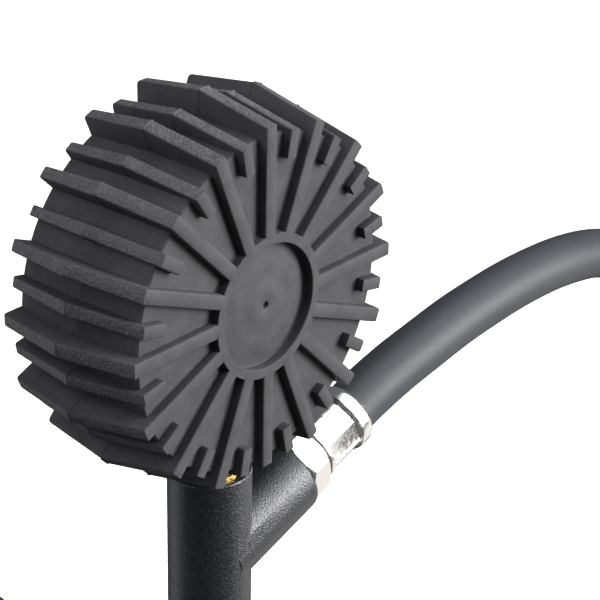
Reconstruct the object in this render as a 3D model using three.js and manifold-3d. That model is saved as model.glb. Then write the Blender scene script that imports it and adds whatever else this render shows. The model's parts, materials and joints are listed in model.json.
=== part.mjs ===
// Foot air pump: a treadle presses a piston down in an upright barrel, the air goes along the base
// through a check valve into a standpipe, and the standpipe carries a pressure gauge in a finned
// rubber boot and sends the air out sideways through a hose that ends in a tyre chuck.
// Millimetres. X is to the right of the person using it, -Y points at that person, +Z is up.
// The origin is on the floor, under the middle of the base plate.
import * as THREE from 'three';
import { mergeVertices } from 'three/addons/utils/BufferGeometryUtils.js';
import Module from 'manifold-3d';

const wasm = await Module();
wasm.setup();

// ---------------------------------------------------------------- driving dimensions
const gap = 0.3;                 // clearance between pieces that touch

const baseLength = 300;          // base plate, along Y
const baseWidth = 150;           // base plate, along X
const baseCorner = 20;
const baseSheet = 2.5;
const baseTop = 18;              // height of the plate's upper face
const skirtBottom = 4;           // height of the skirt's lower edge
const footRadius = 10;

const barrelY = -22;             // barrel axis
const barrelRadius = 25;         // outside of the barrel tube
const barrelWall = 3;
const stroke = 40;               // piston travel
const pistonHeight = 12;
const springSolid = 15;          // height that the return spring needs when squashed
const footCastingTop = 36;       // floor of the barrel
const capThickness = 8;
const rodRadius = 5;

const hingeY = 88;               // treadle hinge axis
const pinRadius = 5;
const treadleHalfWidth = 22;     // outside of the treadle channel
const treadleSheet = 3;
const treadleLength = 226;       // hinge to free end
const padHalfWidth = 42;
const padLength = 88;
const cheekSheet = 4;            // hinge bracket sheet
const rollerRadius = 11;
const rollerWidth = 14;
const forkDepth = 20;            // fork's underside below the roller axis

const pipeY = 122;               // standpipe axis
const pipeBore = 6.8;
const pipeRadius = pipeBore + 1.6;
const branchRadius = 8.6;        // side branch that carries the hose
const branchRise = 18;           // degrees above level
const branchLength = 25;         // from the standpipe axis to the branch's end
const portHeight = 28;           // axis of the air passage along the base

const gaugeHeight = 304;         // gauge axis above the floor
const stemDepth = 15;            // gauge stem's axis in front of the boot's back face
const stemRadius = 5.8;
const caseRadius = 30.5;
const caseWall = 1.2;
const bootDepth = 32.2;          // back face to front face
const bootBack = caseRadius + gap + 2;  // boot's round body at its back edge
const bootFront = bootBack - 0.8;       // and at its front edge
const ribBack = bootBack + 2.5;  // long ribs: reach at the back face, the widest point and the front
const ribWidest = bootBack + 5.7;
const ribFront = bootFront + 4.3;
const shortRibDrop = 1.8;        // short ribs are this much lower
const shortRibInner = bootBack - 4.7;
const ribWidestDepth = 16.3;
const ribWidth = 2.9;
const shortRibWidth = 2.6;
const ribPairs = 16;
const pocketDepth = 1.8;         // sunken floor between the ribs on the back face
const hubOuter = 14.2;
const hubInner = 12.25;
const neckDrop = ribWidest + 0.9;       // standpipe's open top below the gauge axis
const stemLand = bootBack + 0.6;        // flat under the boot, where the stem leaves it
const stemLandHalf = 10.5;
const branchDrop = neckDrop + 19.5;     // branch and standpipe axes meet this far below the gauge axis

const hoseRadius = 6;
const hoseBore = 3;
const nutAcrossFlats = 14;
const nutLength = 5.3;
const ferruleLength = 14.3;
const ferruleRadius = hoseRadius + 0.9;

// ---------------------------------------------------------------- shape helpers
function signedVolume(position, index) {
  const a = new THREE.Vector3();
  const b = new THREE.Vector3();
  const c = new THREE.Vector3();
  let sum = 0;
  for (let i = 0; i < index.length; i += 3) {
    a.fromArray(position, 3 * index[i]);
    b.fromArray(position, 3 * index[i + 1]);
    c.fromArray(position, 3 * index[i + 2]);
    sum += a.dot(b.cross(c));
  }
  return sum / 6;
}

// a three.js geometry becomes a solid that can be joined and cut
function solid(geometry) {
  const bare = geometry.index ? geometry.toNonIndexed() : geometry.clone();
  bare.deleteAttribute('normal');
  bare.deleteAttribute('uv');
  const merged = mergeVertices(bare, 1e-4);
  const vertProperties = Float32Array.from(merged.attributes.position.array);
  const triVerts = Uint32Array.from(merged.index.array);
  if (signedVolume(vertProperties, triVerts) < 0) {
    for (let i = 0; i < triVerts.length; i += 3) {
      const first = triVerts[i];
      triVerts[i] = triVerts[i + 1];
      triVerts[i + 1] = first;
    }
  }
  return new wasm.Manifold(new wasm.Mesh({ numProp: 3, vertProperties, triVerts }));
}

function geometryOf(body) {
  const mesh = body.getMesh();
  const geometry = new THREE.BufferGeometry();
  geometry.setAttribute('position', new THREE.BufferAttribute(Float32Array.from(mesh.vertProperties), 3));
  geometry.setIndex(Array.from(mesh.triVerts));
  geometry.computeVertexNormals();
  return geometry;
}

function join(bodies) {
  return bodies.reduce((whole, body) => whole.add(body));
}

function cut(body, tools) {
  return tools.reduce((rest, tool) => rest.subtract(tool), body);
}

// number of flats that a round surface gets, more on a wide one
function sidesFor(radius) {
  return 4 * Math.round(Math.min(9, 2.2 + radius / 5));
}

// round bar along Z
function bar(radius, low, high, sides = sidesFor(radius)) {
  const shape = new THREE.CylinderGeometry(radius, radius, high - low, sides);
  shape.rotateX(Math.PI / 2);
  return solid(shape.translate(0, 0, (low + high) / 2));
}

// round bar along X or Y
function barX(radius, low, high, y = 0, z = 0) {
  return bar(radius, low, high).rotate([0, 90, 0]).translate([0, y, z]);
}

function barY(radius, low, high, x = 0, z = 0) {
  return bar(radius, -high, -low).rotate([90, 0, 0]).translate([x, 0, z]);
}

function block(low, high) {
  const shape = new THREE.BoxGeometry(high[0] - low[0], high[1] - low[1], high[2] - low[2]);
  const middle = low.map((value, i) => (value + high[i]) / 2);
  return solid(shape.translate(...middle));
}

// turned piece: closed outline of [radius, height] points spun about Z
function turned(outline, sides = sidesFor(Math.max(...outline.map(([radius]) => radius)))) {
  const points = outline.map(([radius, height]) => new THREE.Vector2(radius, height));
  const closed = outline[0][0] > 0 || outline[outline.length - 1][0] > 0;
  if (closed) {
    points.push(points[0].clone());
  }
  const shape = new THREE.LatheGeometry(points, sides);
  return solid(shape.rotateX(Math.PI / 2));
}

// ring with square edges
function ring(inner, outer, low, high) {
  return turned([[inner, low], [outer, low], [outer, high], [inner, high]]);
}

// flat outline in X and Y, made solid from low to high
function plate(shape, low, high, curveSegments = 3) {
  const body = new THREE.ExtrudeGeometry(shape, { depth: high - low, bevelEnabled: false, curveSegments });
  return solid(body.translate(0, 0, low));
}

function roundedRectangle(halfWidth, halfLength, corner) {
  const shape = new THREE.Shape();
  shape.moveTo(halfWidth, -halfLength + corner);
  shape.lineTo(halfWidth, halfLength - corner);
  shape.absarc(halfWidth - corner, halfLength - corner, corner, 0, Math.PI / 2, false);
  shape.absarc(-halfWidth + corner, halfLength - corner, corner, Math.PI / 2, Math.PI, false);
  shape.absarc(-halfWidth + corner, -halfLength + corner, corner, Math.PI, 1.5 * Math.PI, false);
  shape.absarc(halfWidth - corner, -halfLength + corner, corner, 1.5 * Math.PI, 2 * Math.PI, false);
  return shape;
}

function polygon(points) {
  return new THREE.Shape(points.map(([x, y]) => new THREE.Vector2(x, y)));
}

// hexagonal bar along Z
function hexagon(acrossFlats, low, high) {
  return bar(acrossFlats / Math.sqrt(3), low, high, 6);
}

// round wire or hose along a curve
function sweep(curve, radius, sides, steps) {
  const section = new THREE.Shape();
  section.absarc(0, 0, radius, 0, 2 * Math.PI, false);
  const options = { steps, extrudePath: curve, curveSegments: sides / 2, bevelEnabled: false };
  return new THREE.ExtrudeGeometry(section, options);
}

class Helix extends THREE.Curve {
  constructor(radius, turns, low, high) {
    super();
    Object.assign(this, { radius, turns, low, high });
  }

  getPoint(t, target = new THREE.Vector3()) {
    const angle = 2 * Math.PI * this.turns * t;
    const height = this.low + (this.high - this.low) * t;
    return target.set(this.radius * Math.cos(angle), this.radius * Math.sin(angle), height);
  }
}

// compression spring between two heights
function spring(coilRadius, wire, turns, low, high, stepsPerTurn = 12) {
  const path = new Helix(coilRadius, turns, low + wire, high - wire);
  return solid(sweep(path, wire, 6, turns * stepsPerTurn));
}

// ---------------------------------------------------------------- materials
function finish(color, roughness, metalness) {
  return { color, roughness, metalness };
}

const blackPaint = finish(0x1b1c1e, 0.55, 0.2);
const bootRubber = finish(0x3b3c3f, 0.85, 0);
const hoseRubber = finish(0x2a2c30, 0.45, 0);
const nickel = finish(0xd9d7d2, 0.2, 1);
const steel = finish(0xa9abad, 0.35, 1);
const brass = finish(0xc79a4b, 0.3, 1);
const bronze = finish(0xa87a48, 0.4, 1);
const padRubber = finish(0x2b2b2c, 0.9, 0);
const aluminium = finish(0xb4b6b8, 0.4, 0.9);
const white = finish(0xf2f1ec, 0.6, 0);
const clear = finish(0xdfe6e8, 0.08, 0);
const redPaint = finish(0xa8261d, 0.4, 0);
const springSteel = finish(0x8d8f92, 0.35, 1);
const leather = finish(0x6d4526, 0.8, 0);
const sealRubber = finish(0x1d1d1e, 0.7, 0);

function add(group, name, body, look) {
  const mesh = new THREE.Mesh(geometryOf(body), new THREE.MeshStandardMaterial(look));
  mesh.name = name;
  group.add(mesh);
}

// ---------------------------------------------------------------- heights that follow
const baseUnder = baseTop - baseSheet;
const floorOfParts = baseTop + gap;
const pistonLow = footCastingTop + gap + springSolid;      // piston's underside at the bottom
const pistonRest = pistonLow + stroke;
const barrelTop = pistonRest + pistonHeight + 4;
const capTop = barrelTop + gap + capThickness;
const bushFlange = 1.5;
const rollerLow = capTop + gap + bushFlange + 1.2 + forkDepth;
const rollerRest = rollerLow + stroke;
const hingeHeight = rollerLow + stroke / 2;
const arm = hingeY - barrelY;
const treadleTilt = Math.atan(stroke / 2 / arm);           // above level at rest, below it when pressed
const trackHeight = rollerRadius + gap;                    // channel's underside above the hinge line
const barrelBore = barrelRadius - barrelWall;
const neckTop = gaugeHeight - neckDrop;
const branchHeight = gaugeHeight - branchDrop;

// ---------------------------------------------------------------- base
function placesAround(radius, count, turn = 0) {
  const places = [];
  for (let i = 0; i < count; i += 1) {
    const angle = turn + (2 * Math.PI * i) / count;
    places.push([radius * Math.cos(angle), radius * Math.sin(angle)]);
  }
  return places;
}

const screwRadius = 3;
const screwHeadRadius = 4.8;
const screwHeadHeight = 3.6;
const footCastingRadius = barrelRadius + 5;
const footFlangeRadius = footCastingRadius + 8;
const footFlangeHeight = 6;
const cheekInner = treadleHalfWidth + 4;
const cheekOuter = cheekInner + cheekSheet;
const socketFlangeRadius = cheekInner - 1;
const socketFlangeHeight = 5;
const bracketWeb = 4;
const bracketLow = 50;
const bracketHigh = 92;

const footScrews = placesAround((footFlangeRadius + footCastingRadius) / 2 + 0.2, 3, Math.PI / 6)
  .map(([x, y]) => ({ x, y: y + barrelY, seat: floorOfParts + footFlangeHeight }));
const socketScrews = placesAround(socketFlangeRadius - 5.5, 2)
  .map(([x, y]) => ({ x, y: y + pipeY, seat: floorOfParts + socketFlangeHeight }));
const bracketScrews = [[-15, 71], [15, 71]]
  .map(([x, y]) => ({ x, y, seat: floorOfParts + bracketWeb }));
const allScrews = [...footScrews, ...socketScrews, ...bracketScrews];
const feet = [[-1, -1], [1, -1], [-1, 1], [1, 1]]
  .map(([x, y]) => [x * (baseWidth / 2 - 20), y * (baseLength / 2 - 20)]);
const boltDownHoles = [[-1, 0], [1, 0]].map(([x]) => [x * (baseWidth / 2 - 14), barrelY]);

function basePlate() {
  const outer = roundedRectangle(baseWidth / 2, baseLength / 2, baseCorner);
  const inner = roundedRectangle(
    baseWidth / 2 - baseSheet, baseLength / 2 - baseSheet, baseCorner - baseSheet,
  );
  const shell = cut(plate(outer, skirtBottom, baseTop), [plate(inner, skirtBottom - 1, baseUnder)]);
  const holes = allScrews.map(({ x, y }) => bar(screwRadius + gap, 0, baseTop + 1).translate([x, y, 0]));
  const bolts = boltDownHoles.map(([x, y]) => bar(3.5, 0, baseTop + 1).translate([x, y, 0]));
  const footHoles = feet.map(([x, y]) => bar(footRadius / 2 + gap, 0, baseTop + 1).translate([x, y, 0]));
  return cut(shell, [...holes, ...bolts, ...footHoles]);
}

// rubber foot: a pad under the plate, pulled through its hole and held by a button on top
function rubberFoot() {
  const under = baseUnder - gap;
  const above = baseTop + gap;
  const outline = [
    [0, 0], [footRadius - 1.5, 0], [footRadius, 1.5], [footRadius - 0.5, under], [footRadius / 2, under],
    [footRadius / 2, above], [footRadius / 2 + 1.6, above], [footRadius / 2 + 1, above + 1.6], [0, above + 2],
  ];
  return turned(outline);
}

function screw(seat) {
  const head = hexagon(2 * screwHeadRadius * 0.87, seat + gap, seat + gap + screwHeadHeight);
  const shank = bar(screwRadius, baseUnder - 6.5, seat + gap + 1);
  const nut = hexagon(2 * screwHeadRadius * 0.87, baseUnder - gap - 4.5, baseUnder - gap);
  return join([shank, head, nut]);
}

// ---------------------------------------------------------------- barrel and piston
const outletBossRadius = 9;
const outletTubeRadius = 5;
const airRadius = 3;
const bossReach = barrelRadius + 15;    // barrel axis to the end of the outlet boss
const tubeInsert = 8;
const bossTubeBore = outletTubeRadius + gap;

function barrelFoot() {
  const puck = turned([
    [0, floorOfParts], [footFlangeRadius, floorOfParts], [footFlangeRadius, floorOfParts + footFlangeHeight],
    [footCastingRadius, floorOfParts + footFlangeHeight + 1], [footCastingRadius, footCastingTop + 8],
    [barrelRadius + gap, footCastingTop + 8], [barrelRadius + gap, footCastingTop], [0, footCastingTop],
  ]);
  const boss = barY(outletBossRadius, barrelRadius + 2, bossReach, 0, portHeight);
  const channel = barY(airRadius, 0, bossReach + 1, 0, portHeight);
  const socket = barY(bossTubeBore, bossReach - tubeInsert, bossReach + 1, 0, portHeight);
  const riser = bar(airRadius, portHeight, footCastingTop + 1);
  const holes = footScrews.map(({ x, y }) => (
    bar(screwRadius + gap, 0, 60).translate([x, y - barrelY, 0])));
  const headRoom = footScrews.map(({ x, y, seat }) => (
    bar(screwHeadRadius + 0.8, seat, seat + 8).translate([x, y - barrelY, 0])));
  return cut(puck.add(boss), [channel, socket, riser, ...holes, ...headRoom]);
}

const barrelBottom = footCastingTop + gap;

function barrelCap() {
  const skirt = barrelTop - 12;
  const hole = rodRadius + 3 + gap;
  const body = turned([
    [hole, barrelTop + gap], [barrelRadius + gap, barrelTop + gap], [barrelRadius + gap, skirt],
    [barrelRadius + 4, skirt], [barrelRadius + 4, capTop - 1.5], [barrelRadius + 2.5, capTop], [hole, capTop],
  ]);
  const vent = bar(2, barrelTop, capTop + 1);
  const vents = placesAround(barrelRadius - 9, 4).map(([x, y]) => vent.translate([x, y, 0]));
  const grips = placesAround(barrelRadius + 5.2, 12).map(([x, y]) => (
    bar(1.9, skirt - 1, capTop + 1).translate([x, y, 0])));
  return cut(body, [...vents, ...grips]);
}

function rodBush() {
  return turned([
    [rodRadius + gap, barrelTop - 4], [rodRadius + 3, barrelTop - 4], [rodRadius + 3, capTop + gap],
    [rodRadius + 7, capTop + gap], [rodRadius + 7, capTop + gap + bushFlange],
    [rodRadius + gap, capTop + gap + bushFlange],
  ]);
}

const cupHeight = 7;
const rodEnd = pistonRest - 7.5;
const forkBottom = rollerRest - forkDepth;
const rodInFork = 7;

function pistonRod() {
  const neck = 3.5;
  return turned([
    [0, rodEnd], [neck, rodEnd], [neck, pistonRest + pistonHeight + gap],
    [rodRadius, pistonRest + pistonHeight + gap], [rodRadius, forkBottom + rodInFork],
    [0, forkBottom + rodInFork],
  ]);
}

function pistonPlate() {
  return ring(3.5 + gap, barrelBore - 1.2, pistonRest + cupHeight + gap, pistonRest + pistonHeight);
}

// cup seal, open downwards, that folds in on the upstroke to let new air past
function pistonCup() {
  return turned([
    [3.5 + gap, pistonRest + cupHeight - 2], [barrelBore - 3.2, pistonRest + cupHeight - 2],
    [barrelBore - 1.8, pistonRest - 1], [barrelBore - 0.3, pistonRest - 1],
    [barrelBore - 0.4, pistonRest + cupHeight - 1], [barrelBore - 1.6, pistonRest + cupHeight],
    [3.5 + gap, pistonRest + cupHeight],
  ]);
}

const springRadius = barrelBore - 8;
const springWire = 1.3;

// nut with a wide flange that the return spring pushes on
function pistonNut() {
  const high = pistonRest + cupHeight - 2 - gap;
  const flange = bar(springRadius + 2.2, high - 2, high);
  return cut(flange.add(hexagon(12, high - 7, high)), [bar(3.5 + gap, 0, high + 1)]);
}

function rodFork() {
  const inner = rollerWidth / 2 + gap;
  const outer = inner + 4.5;
  const body = block([-outer, -8, -forkDepth], [outer, 8, 6]);
  const slot = block([-inner, -12, -rollerRadius - 0.6], [inner, 12, 10]);
  const pinHole = barX(rollerPinRadius + gap, -outer - 1, outer + 1, 0, 0);
  const rodHole = bar(rodRadius + gap, -forkDepth - 1, -forkDepth + rodInFork + gap);
  return cut(body, [slot, pinHole, rodHole]);
}

const rollerPinRadius = 3;

function roller() {
  const half = rollerWidth / 2;
  const body = turned([
    [rollerPinRadius + gap, -half], [rollerRadius - 1, -half], [rollerRadius, -half + 1],
    [rollerRadius, half - 1], [rollerRadius - 1, half], [rollerPinRadius + gap, half],
  ]);
  return body.rotate([0, 90, 0]);
}

function rollerPin() {
  const reach = rollerWidth / 2 + gap + 4.5 + gap;
  const shank = barX(rollerPinRadius, -reach - 1, reach, 0, 0);
  return join([shank, barX(4.6, -reach - 1.6, -reach, 0, 0), barX(4.2, reach, reach + 1.2, 0, 0)]);
}

function returnSpring() {
  const low = footCastingTop + gap;
  const high = pistonRest + cupHeight - 2 - gap - 2 - gap;
  return spring(springRadius, springWire, 5, low, high);
}

// ---------------------------------------------------------------- hinge bracket and treadle
function cheekOutline() {
  const shape = new THREE.Shape();
  const top = hingeHeight;
  shape.moveTo(bracketLow, floorOfParts);
  shape.lineTo(hingeY + 26, floorOfParts);
  shape.lineTo(hingeY + 26, floorOfParts + 20);
  shape.lineTo(hingeY + 13, top);
  shape.absarc(hingeY, top, 13, 0, Math.PI, false);
  shape.lineTo(bracketLow, floorOfParts + 20);
  return shape;
}

// rotates a plate drawn as (Y, Z) so that it stands with its thickness along X
function standing(shape, low, high) {
  return plate(shape, low, high, 6).rotate([90, 0, 90]);
}

function hingeBracket() {
  const left = standing(cheekOutline(), -cheekOuter, -cheekInner);
  const right = standing(cheekOutline(), cheekInner, cheekOuter);
  const web = block(
    [-cheekOuter, bracketLow, floorOfParts], [cheekOuter, bracketHigh, floorOfParts + bracketWeb],
  );
  const pinHole = barX(pinRadius + gap, -50, 50, hingeY, hingeHeight);
  const window = standing(polygon([
    [bracketLow + 22, floorOfParts + 30], [hingeY + 12, floorOfParts + 30], [hingeY + 3, hingeHeight - 34],
    [hingeY - 5, hingeHeight - 34],
  ]), -50, 50);
  const holes = bracketScrews.map(({ x, y }) => bar(screwRadius + gap, 0, 40).translate([x, y, 0]));
  return cut(join([left, right, web]), [pinHole, window, ...holes]);
}

function hingePin() {
  const reach = cheekOuter + gap;
  return join([
    barX(pinRadius, -reach - 2, reach + 2, 0, 0), barX(8, -reach - 4, -reach, 0, 0),
    barX(7, reach, reach + 2.5, 0, 0),
  ]);
}

function treadleBush(side) {
  const sleeve = turned([
    [pinRadius + gap, treadleHalfWidth - treadleSheet - 1],
    [pinRadius + 2.6, treadleHalfWidth - treadleSheet - 1],
    [pinRadius + 2.6, treadleHalfWidth + gap], [pinRadius + 5, treadleHalfWidth + gap],
    [pinRadius + 5, cheekInner - gap], [pinRadius + gap, cheekInner - gap],
  ]);
  return sleeve.rotate([0, side * 90, 0]);
}

// pressed channel with a wide foot plate; drawn with the hinge at the origin and the lever along -Y
function treadle() {
  const under = trackHeight;
  const over = trackHeight + treadleSheet;
  const web = block([-treadleHalfWidth, -treadleLength + padLength / 2, under], [treadleHalfWidth, 14, over]);
  const pad = roundedRectangle(padHalfWidth, padLength / 2, 14);
  const padPlate = plate(pad, under, over).translate([0, -treadleLength + padLength / 2, 0]);
  const lip = cut(plate(pad, under - 7, under + 1), [
    plate(roundedRectangle(padHalfWidth - treadleSheet, padLength / 2 - treadleSheet, 11), under - 8, under),
  ]).translate([0, -treadleLength + padLength / 2, 0]);
  const side = polygon([
    [14, over - 1], [14, -8], [8, -12], [-10, -12], [-95, -3], [-treadleLength + padLength + 10, under - 7],
    [-treadleLength + 30, under - 7], [-treadleLength + 30, over - 1],
  ]);
  const left = standing(side, -treadleHalfWidth, -treadleHalfWidth + treadleSheet);
  const right = standing(side, treadleHalfWidth - treadleSheet, treadleHalfWidth);
  const bushHoles = barX(pinRadius + 2.6 + gap, -50, 50, 0, 0);
  return cut(join([web, padPlate, lip, left, right]), [bushHoles]);
}

function treadlePad() {
  const over = trackHeight + treadleSheet + gap;
  const middle = -treadleLength + padLength / 2;
  const mat = plate(roundedRectangle(padHalfWidth - 3, padLength / 2 - 3, 11), over, over + 2.6);
  const ribs = [];
  for (let i = -4; i <= 4; i += 1) {
    const middle = i * 8.6;
    const reach = padHalfWidth - 8;
    ribs.push(block([-reach, middle - 1.8, over + 2], [reach, middle + 1.8, over + 4.6]));
  }
  return join([mat, ...ribs]).translate([0, middle, 0]);
}

// ---------------------------------------------------------------- outlet, check valve and standpipe
const socketBossRadius = 14;
const chamberLow = 32;
const ballRadius = 4;
const chamberRadius = 5.2;
const ballHeight = chamberLow + gap + Math.sqrt(ballRadius ** 2 - airRadius ** 2);
const valveSpringLength = 10;
const valveSpringLow = ballHeight + ballRadius + gap;
const retainerLow = valveSpringLow + valveSpringLength + gap;
const retainerHeight = 1.4;
const pipeBottom = retainerLow + retainerHeight + gap;
const socketTop = pipeBottom + 16;
const socketReach = 24;

function pipeSocket() {
  const body = turned([
    [0, floorOfParts], [socketFlangeRadius, floorOfParts],
    [socketFlangeRadius, floorOfParts + socketFlangeHeight],
    [socketBossRadius, floorOfParts + socketFlangeHeight + 1], [socketBossRadius, socketTop - 1],
    [socketBossRadius - 1, socketTop], [0, socketTop],
  ]);
  const boss = barY(outletBossRadius, -socketReach, -8, 0, portHeight);
  const tubeHole = barY(bossTubeBore, -socketReach - 1, -socketReach + tubeInsert, 0, portHeight);
  const channel = barY(airRadius, -socketReach - 1, 0, 0, portHeight);
  const riser = bar(airRadius, portHeight, chamberLow + 1);
  const chamber = bar(chamberRadius, chamberLow, socketTop);
  const pipeHole = bar(pipeRadius + gap, retainerLow - gap, socketTop + 1);
  const holes = socketScrews.map(({ x, y }) => (
    bar(screwRadius + gap, 0, 60).translate([x, y - pipeY, 0])));
  const headRoom = socketScrews.map(({ x, y, seat }) => (
    bar(screwHeadRadius + 0.8, seat, seat + 8).translate([x, y - pipeY, 0])));
  return cut(body.add(boss), [tubeHole, channel, riser, chamber, pipeHole, ...holes, ...headRoom]);
}

function checkBall() {
  return solid(new THREE.SphereGeometry(ballRadius, 14, 8)).translate([0, 0, ballHeight]);
}

function checkSpring() {
  return spring(3.4, 0.45, 5, valveSpringLow, valveSpringLow + valveSpringLength, 10);
}

function springRetainer() {
  const disc = bar(pipeRadius, retainerLow, retainerLow + retainerHeight);
  const slots = placesAround(4.6, 4).map(([x, y]) => bar(1.3, 0, 200).translate([x, y, 0]));
  return cut(disc, slots);
}

function outletTube() {
  const low = barrelY + bossReach - tubeInsert + gap;
  const high = pipeY - socketReach + tubeInsert - gap;
  return cut(barY(outletTubeRadius, low, high, 0, portHeight), [
    barY(airRadius, low - 1, high + 1, 0, portHeight),
  ]);
}

const rise = THREE.MathUtils.degToRad(branchRise);
const branchDirection = new THREE.Vector3(-Math.cos(rise), 0, Math.sin(rise));

// turns a piece drawn along +Z so that it lies along the branch, distances measured from the pipe's axis
function alongBranch(body) {
  return body.rotate([0, -(90 - branchRise), 0]).translate([0, pipeY, branchHeight]);
}

const stemReach = 14;            // how far the gauge stem goes down into the pipe
const nippleRadius = 4.2;

function standpipe() {
  const pipe = bar(pipeRadius, pipeBottom, neckTop).translate([0, pipeY, 0]);
  const branch = alongBranch(bar(branchRadius, 0, branchLength));
  const bore = bar(pipeBore, pipeBottom - 1, neckTop + 1).translate([0, pipeY, 0]);
  const branchBore = alongBranch(bar(nippleRadius + gap, 0, branchLength + 1));
  return cut(pipe.add(branch), [bore, branchBore]);
}

const stayHeight = hingeHeight - 46;

// strap that ties the standpipe to the two cheeks of the hinge bracket
function pipeStay() {
  const sheet = 2.5;
  const clamp = ring(pipeRadius + gap, pipeRadius + gap + sheet, stayHeight - 7, stayHeight + 7)
    .translate([0, pipeY, 0]);
  const y = pipeY - pipeRadius - gap - sheet;
  const strap = block([-cheekInner + gap, y, stayHeight - 7], [cheekInner - gap, y + sheet, stayHeight + 7]);
  const tabs = [-1, 1].map((side) => {
    const outer = side * (cheekInner - gap);
    const inner = side * (cheekInner - gap - sheet);
    const low = [Math.min(inner, outer), y - 20, stayHeight - 7];
    return block(low, [Math.max(inner, outer), y + 1, stayHeight + 7]);
  });
  const bore = bar(pipeRadius + gap, 0, 400).translate([0, pipeY, 0]);
  return cut(join([clamp, strap, ...tabs]), [bore]);
}

// ---------------------------------------------------------------- hose fitting
const nutStart = branchLength + gap;
const ferruleStart = nutStart + nutLength + gap;
const ferruleEnd = ferruleStart + ferruleLength;
const insertRadius = hoseBore - gap;

function hoseNut() {
  const hex = turned([
    [0, nutStart], [nutAcrossFlats * 0.52, nutStart], [nutAcrossFlats / Math.sqrt(3), nutStart + 0.9],
    [nutAcrossFlats / Math.sqrt(3), nutStart + nutLength - 0.9],
    [nutAcrossFlats * 0.52, nutStart + nutLength],
    [0, nutStart + nutLength],
  ], 6);
  const nipple = bar(nippleRadius, nutStart - 12, nutStart + 1);
  const barb = bar(insertRadius, nutStart + 1, ferruleEnd - 0.5);
  return cut(join([hex, nipple, barb]), [bar(1.8, nutStart - 13, ferruleEnd + 4)]);
}

// crimped sleeve: flats pressed into the middle, a rounded collar at the hose end
function ferrule(start, end) {
  const length = end - start;
  const sleeve = turned([
    [insertRadius + gap, start], [ferruleRadius - 0.6, start], [ferruleRadius, start + 0.6],
    [ferruleRadius, end - 4], [ferruleRadius + 0.6, end - 3], [ferruleRadius + 0.6, end - 1],
    [ferruleRadius, end], [insertRadius + gap, end],
  ]);
  const flats = [];
  for (let i = 0; i < 8; i += 1) {
    const tool = block([ferruleRadius - 0.35, -4, start + 1.5], [ferruleRadius + 3, 4, start + length - 4.5]);
    flats.push(tool.rotate([0, 0, 45 * i]));
  }
  return cut(sleeve, flats);
}

// ---------------------------------------------------------------- hose route
const hoseStart = ferruleEnd + gap;
const hoseMouth = new THREE.Vector3(0, pipeY, branchHeight);
hoseMouth.addScaledVector(branchDirection, hoseStart);
const chuckX = -238;
const chuckY = -22;              // hose end at the chuck, which points at the person
const chuckHeight = 10.8;        // its axis above the floor
const chuckTurn = -90;           // heading of its nose about Z, from +X, in degrees

const straightStretch = 5;

// chosen points of the hose's middle line between its two straight ends
const hosePoints = [
  [-58.7, 122, 263.3], [-69.6, 122, 265.1], [-79.8, 122, 266.65], [-90.7, 122, 267.6],
  [-102, 122, 268.1], [-113.7, 122, 267.8], [-125, 121.9, 266.6], [-137.3, 121.7, 264], [-155, 121, 257],
  [-172, 120, 246.5], [-188, 118.5, 231], [-201, 116.5, 211.5], [-211, 114, 188], [-218, 111, 162],
  [-223, 107.5, 136], [-227, 103, 110], [-231, 97, 84.5], [-235, 89, 60], [-239, 77, 37.5],
  [-241.5, 60, 20], [-242.6, 39, 9.6], [-241.2, 17, 6.4], [-239.2, -2, 8.5],
];

// the hose leaves the ferrule and meets the chuck square on, over a short straight stretch
function hosePath() {
  const heading = THREE.MathUtils.degToRad(chuckTurn);
  const end = new THREE.Vector3(chuckX, chuckY, chuckHeight);
  const chuckDirection = new THREE.Vector3(Math.cos(heading), Math.sin(heading), 0);
  const leave = hoseMouth.clone().addScaledVector(branchDirection, straightStretch);
  const arrive = end.clone().addScaledVector(chuckDirection, -straightStretch);
  const middle = hosePoints.map((point) => new THREE.Vector3(...point));
  return new THREE.CatmullRomCurve3([hoseMouth, leave, ...middle, arrive, end], false, 'centripetal');
}

// ---------------------------------------------------------------- chuck, drawn along +Z from the hose end
const chuckSleeveEnd = 14.6;
const chuckGrip = 7.5;
const chuckHead = 10;
const headStart = 48;
const headEnd = 66;
const sealBore = 8;
const leverPinAlong = 36;
const leverPinRadius = 1.8;
const leverInner = chuckGrip + 0.7;
const leverSheet = 1.8;
const bridgeUnder = 9;
const pusherTravel = 1;

function chuckBody() {
  const body = turned([
    [0, chuckSleeveEnd + gap], [7, chuckSleeveEnd + gap], [7, chuckSleeveEnd + 3], [6, chuckSleeveEnd + 4],
    [6, chuckSleeveEnd + 6], [chuckGrip, chuckSleeveEnd + 8], [chuckGrip, headStart - 1.2],
    [chuckHead - 0.4, headStart], [chuckHead, headStart + 0.4], [chuckHead, headEnd], [sealBore, headEnd],
    [sealBore, headStart + 5], [0, headStart + 5],
  ]);
  const barb = bar(insertRadius, 1, chuckSleeveEnd + 1);
  const passage = bar(1.8, 0, headEnd);
  const pinHole = barX(leverPinRadius + gap, -20, 20, 0, leverPinAlong).rotate([0, 0, 90]);
  return cut(body.add(barb), [passage, pinHole]);
}

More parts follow.
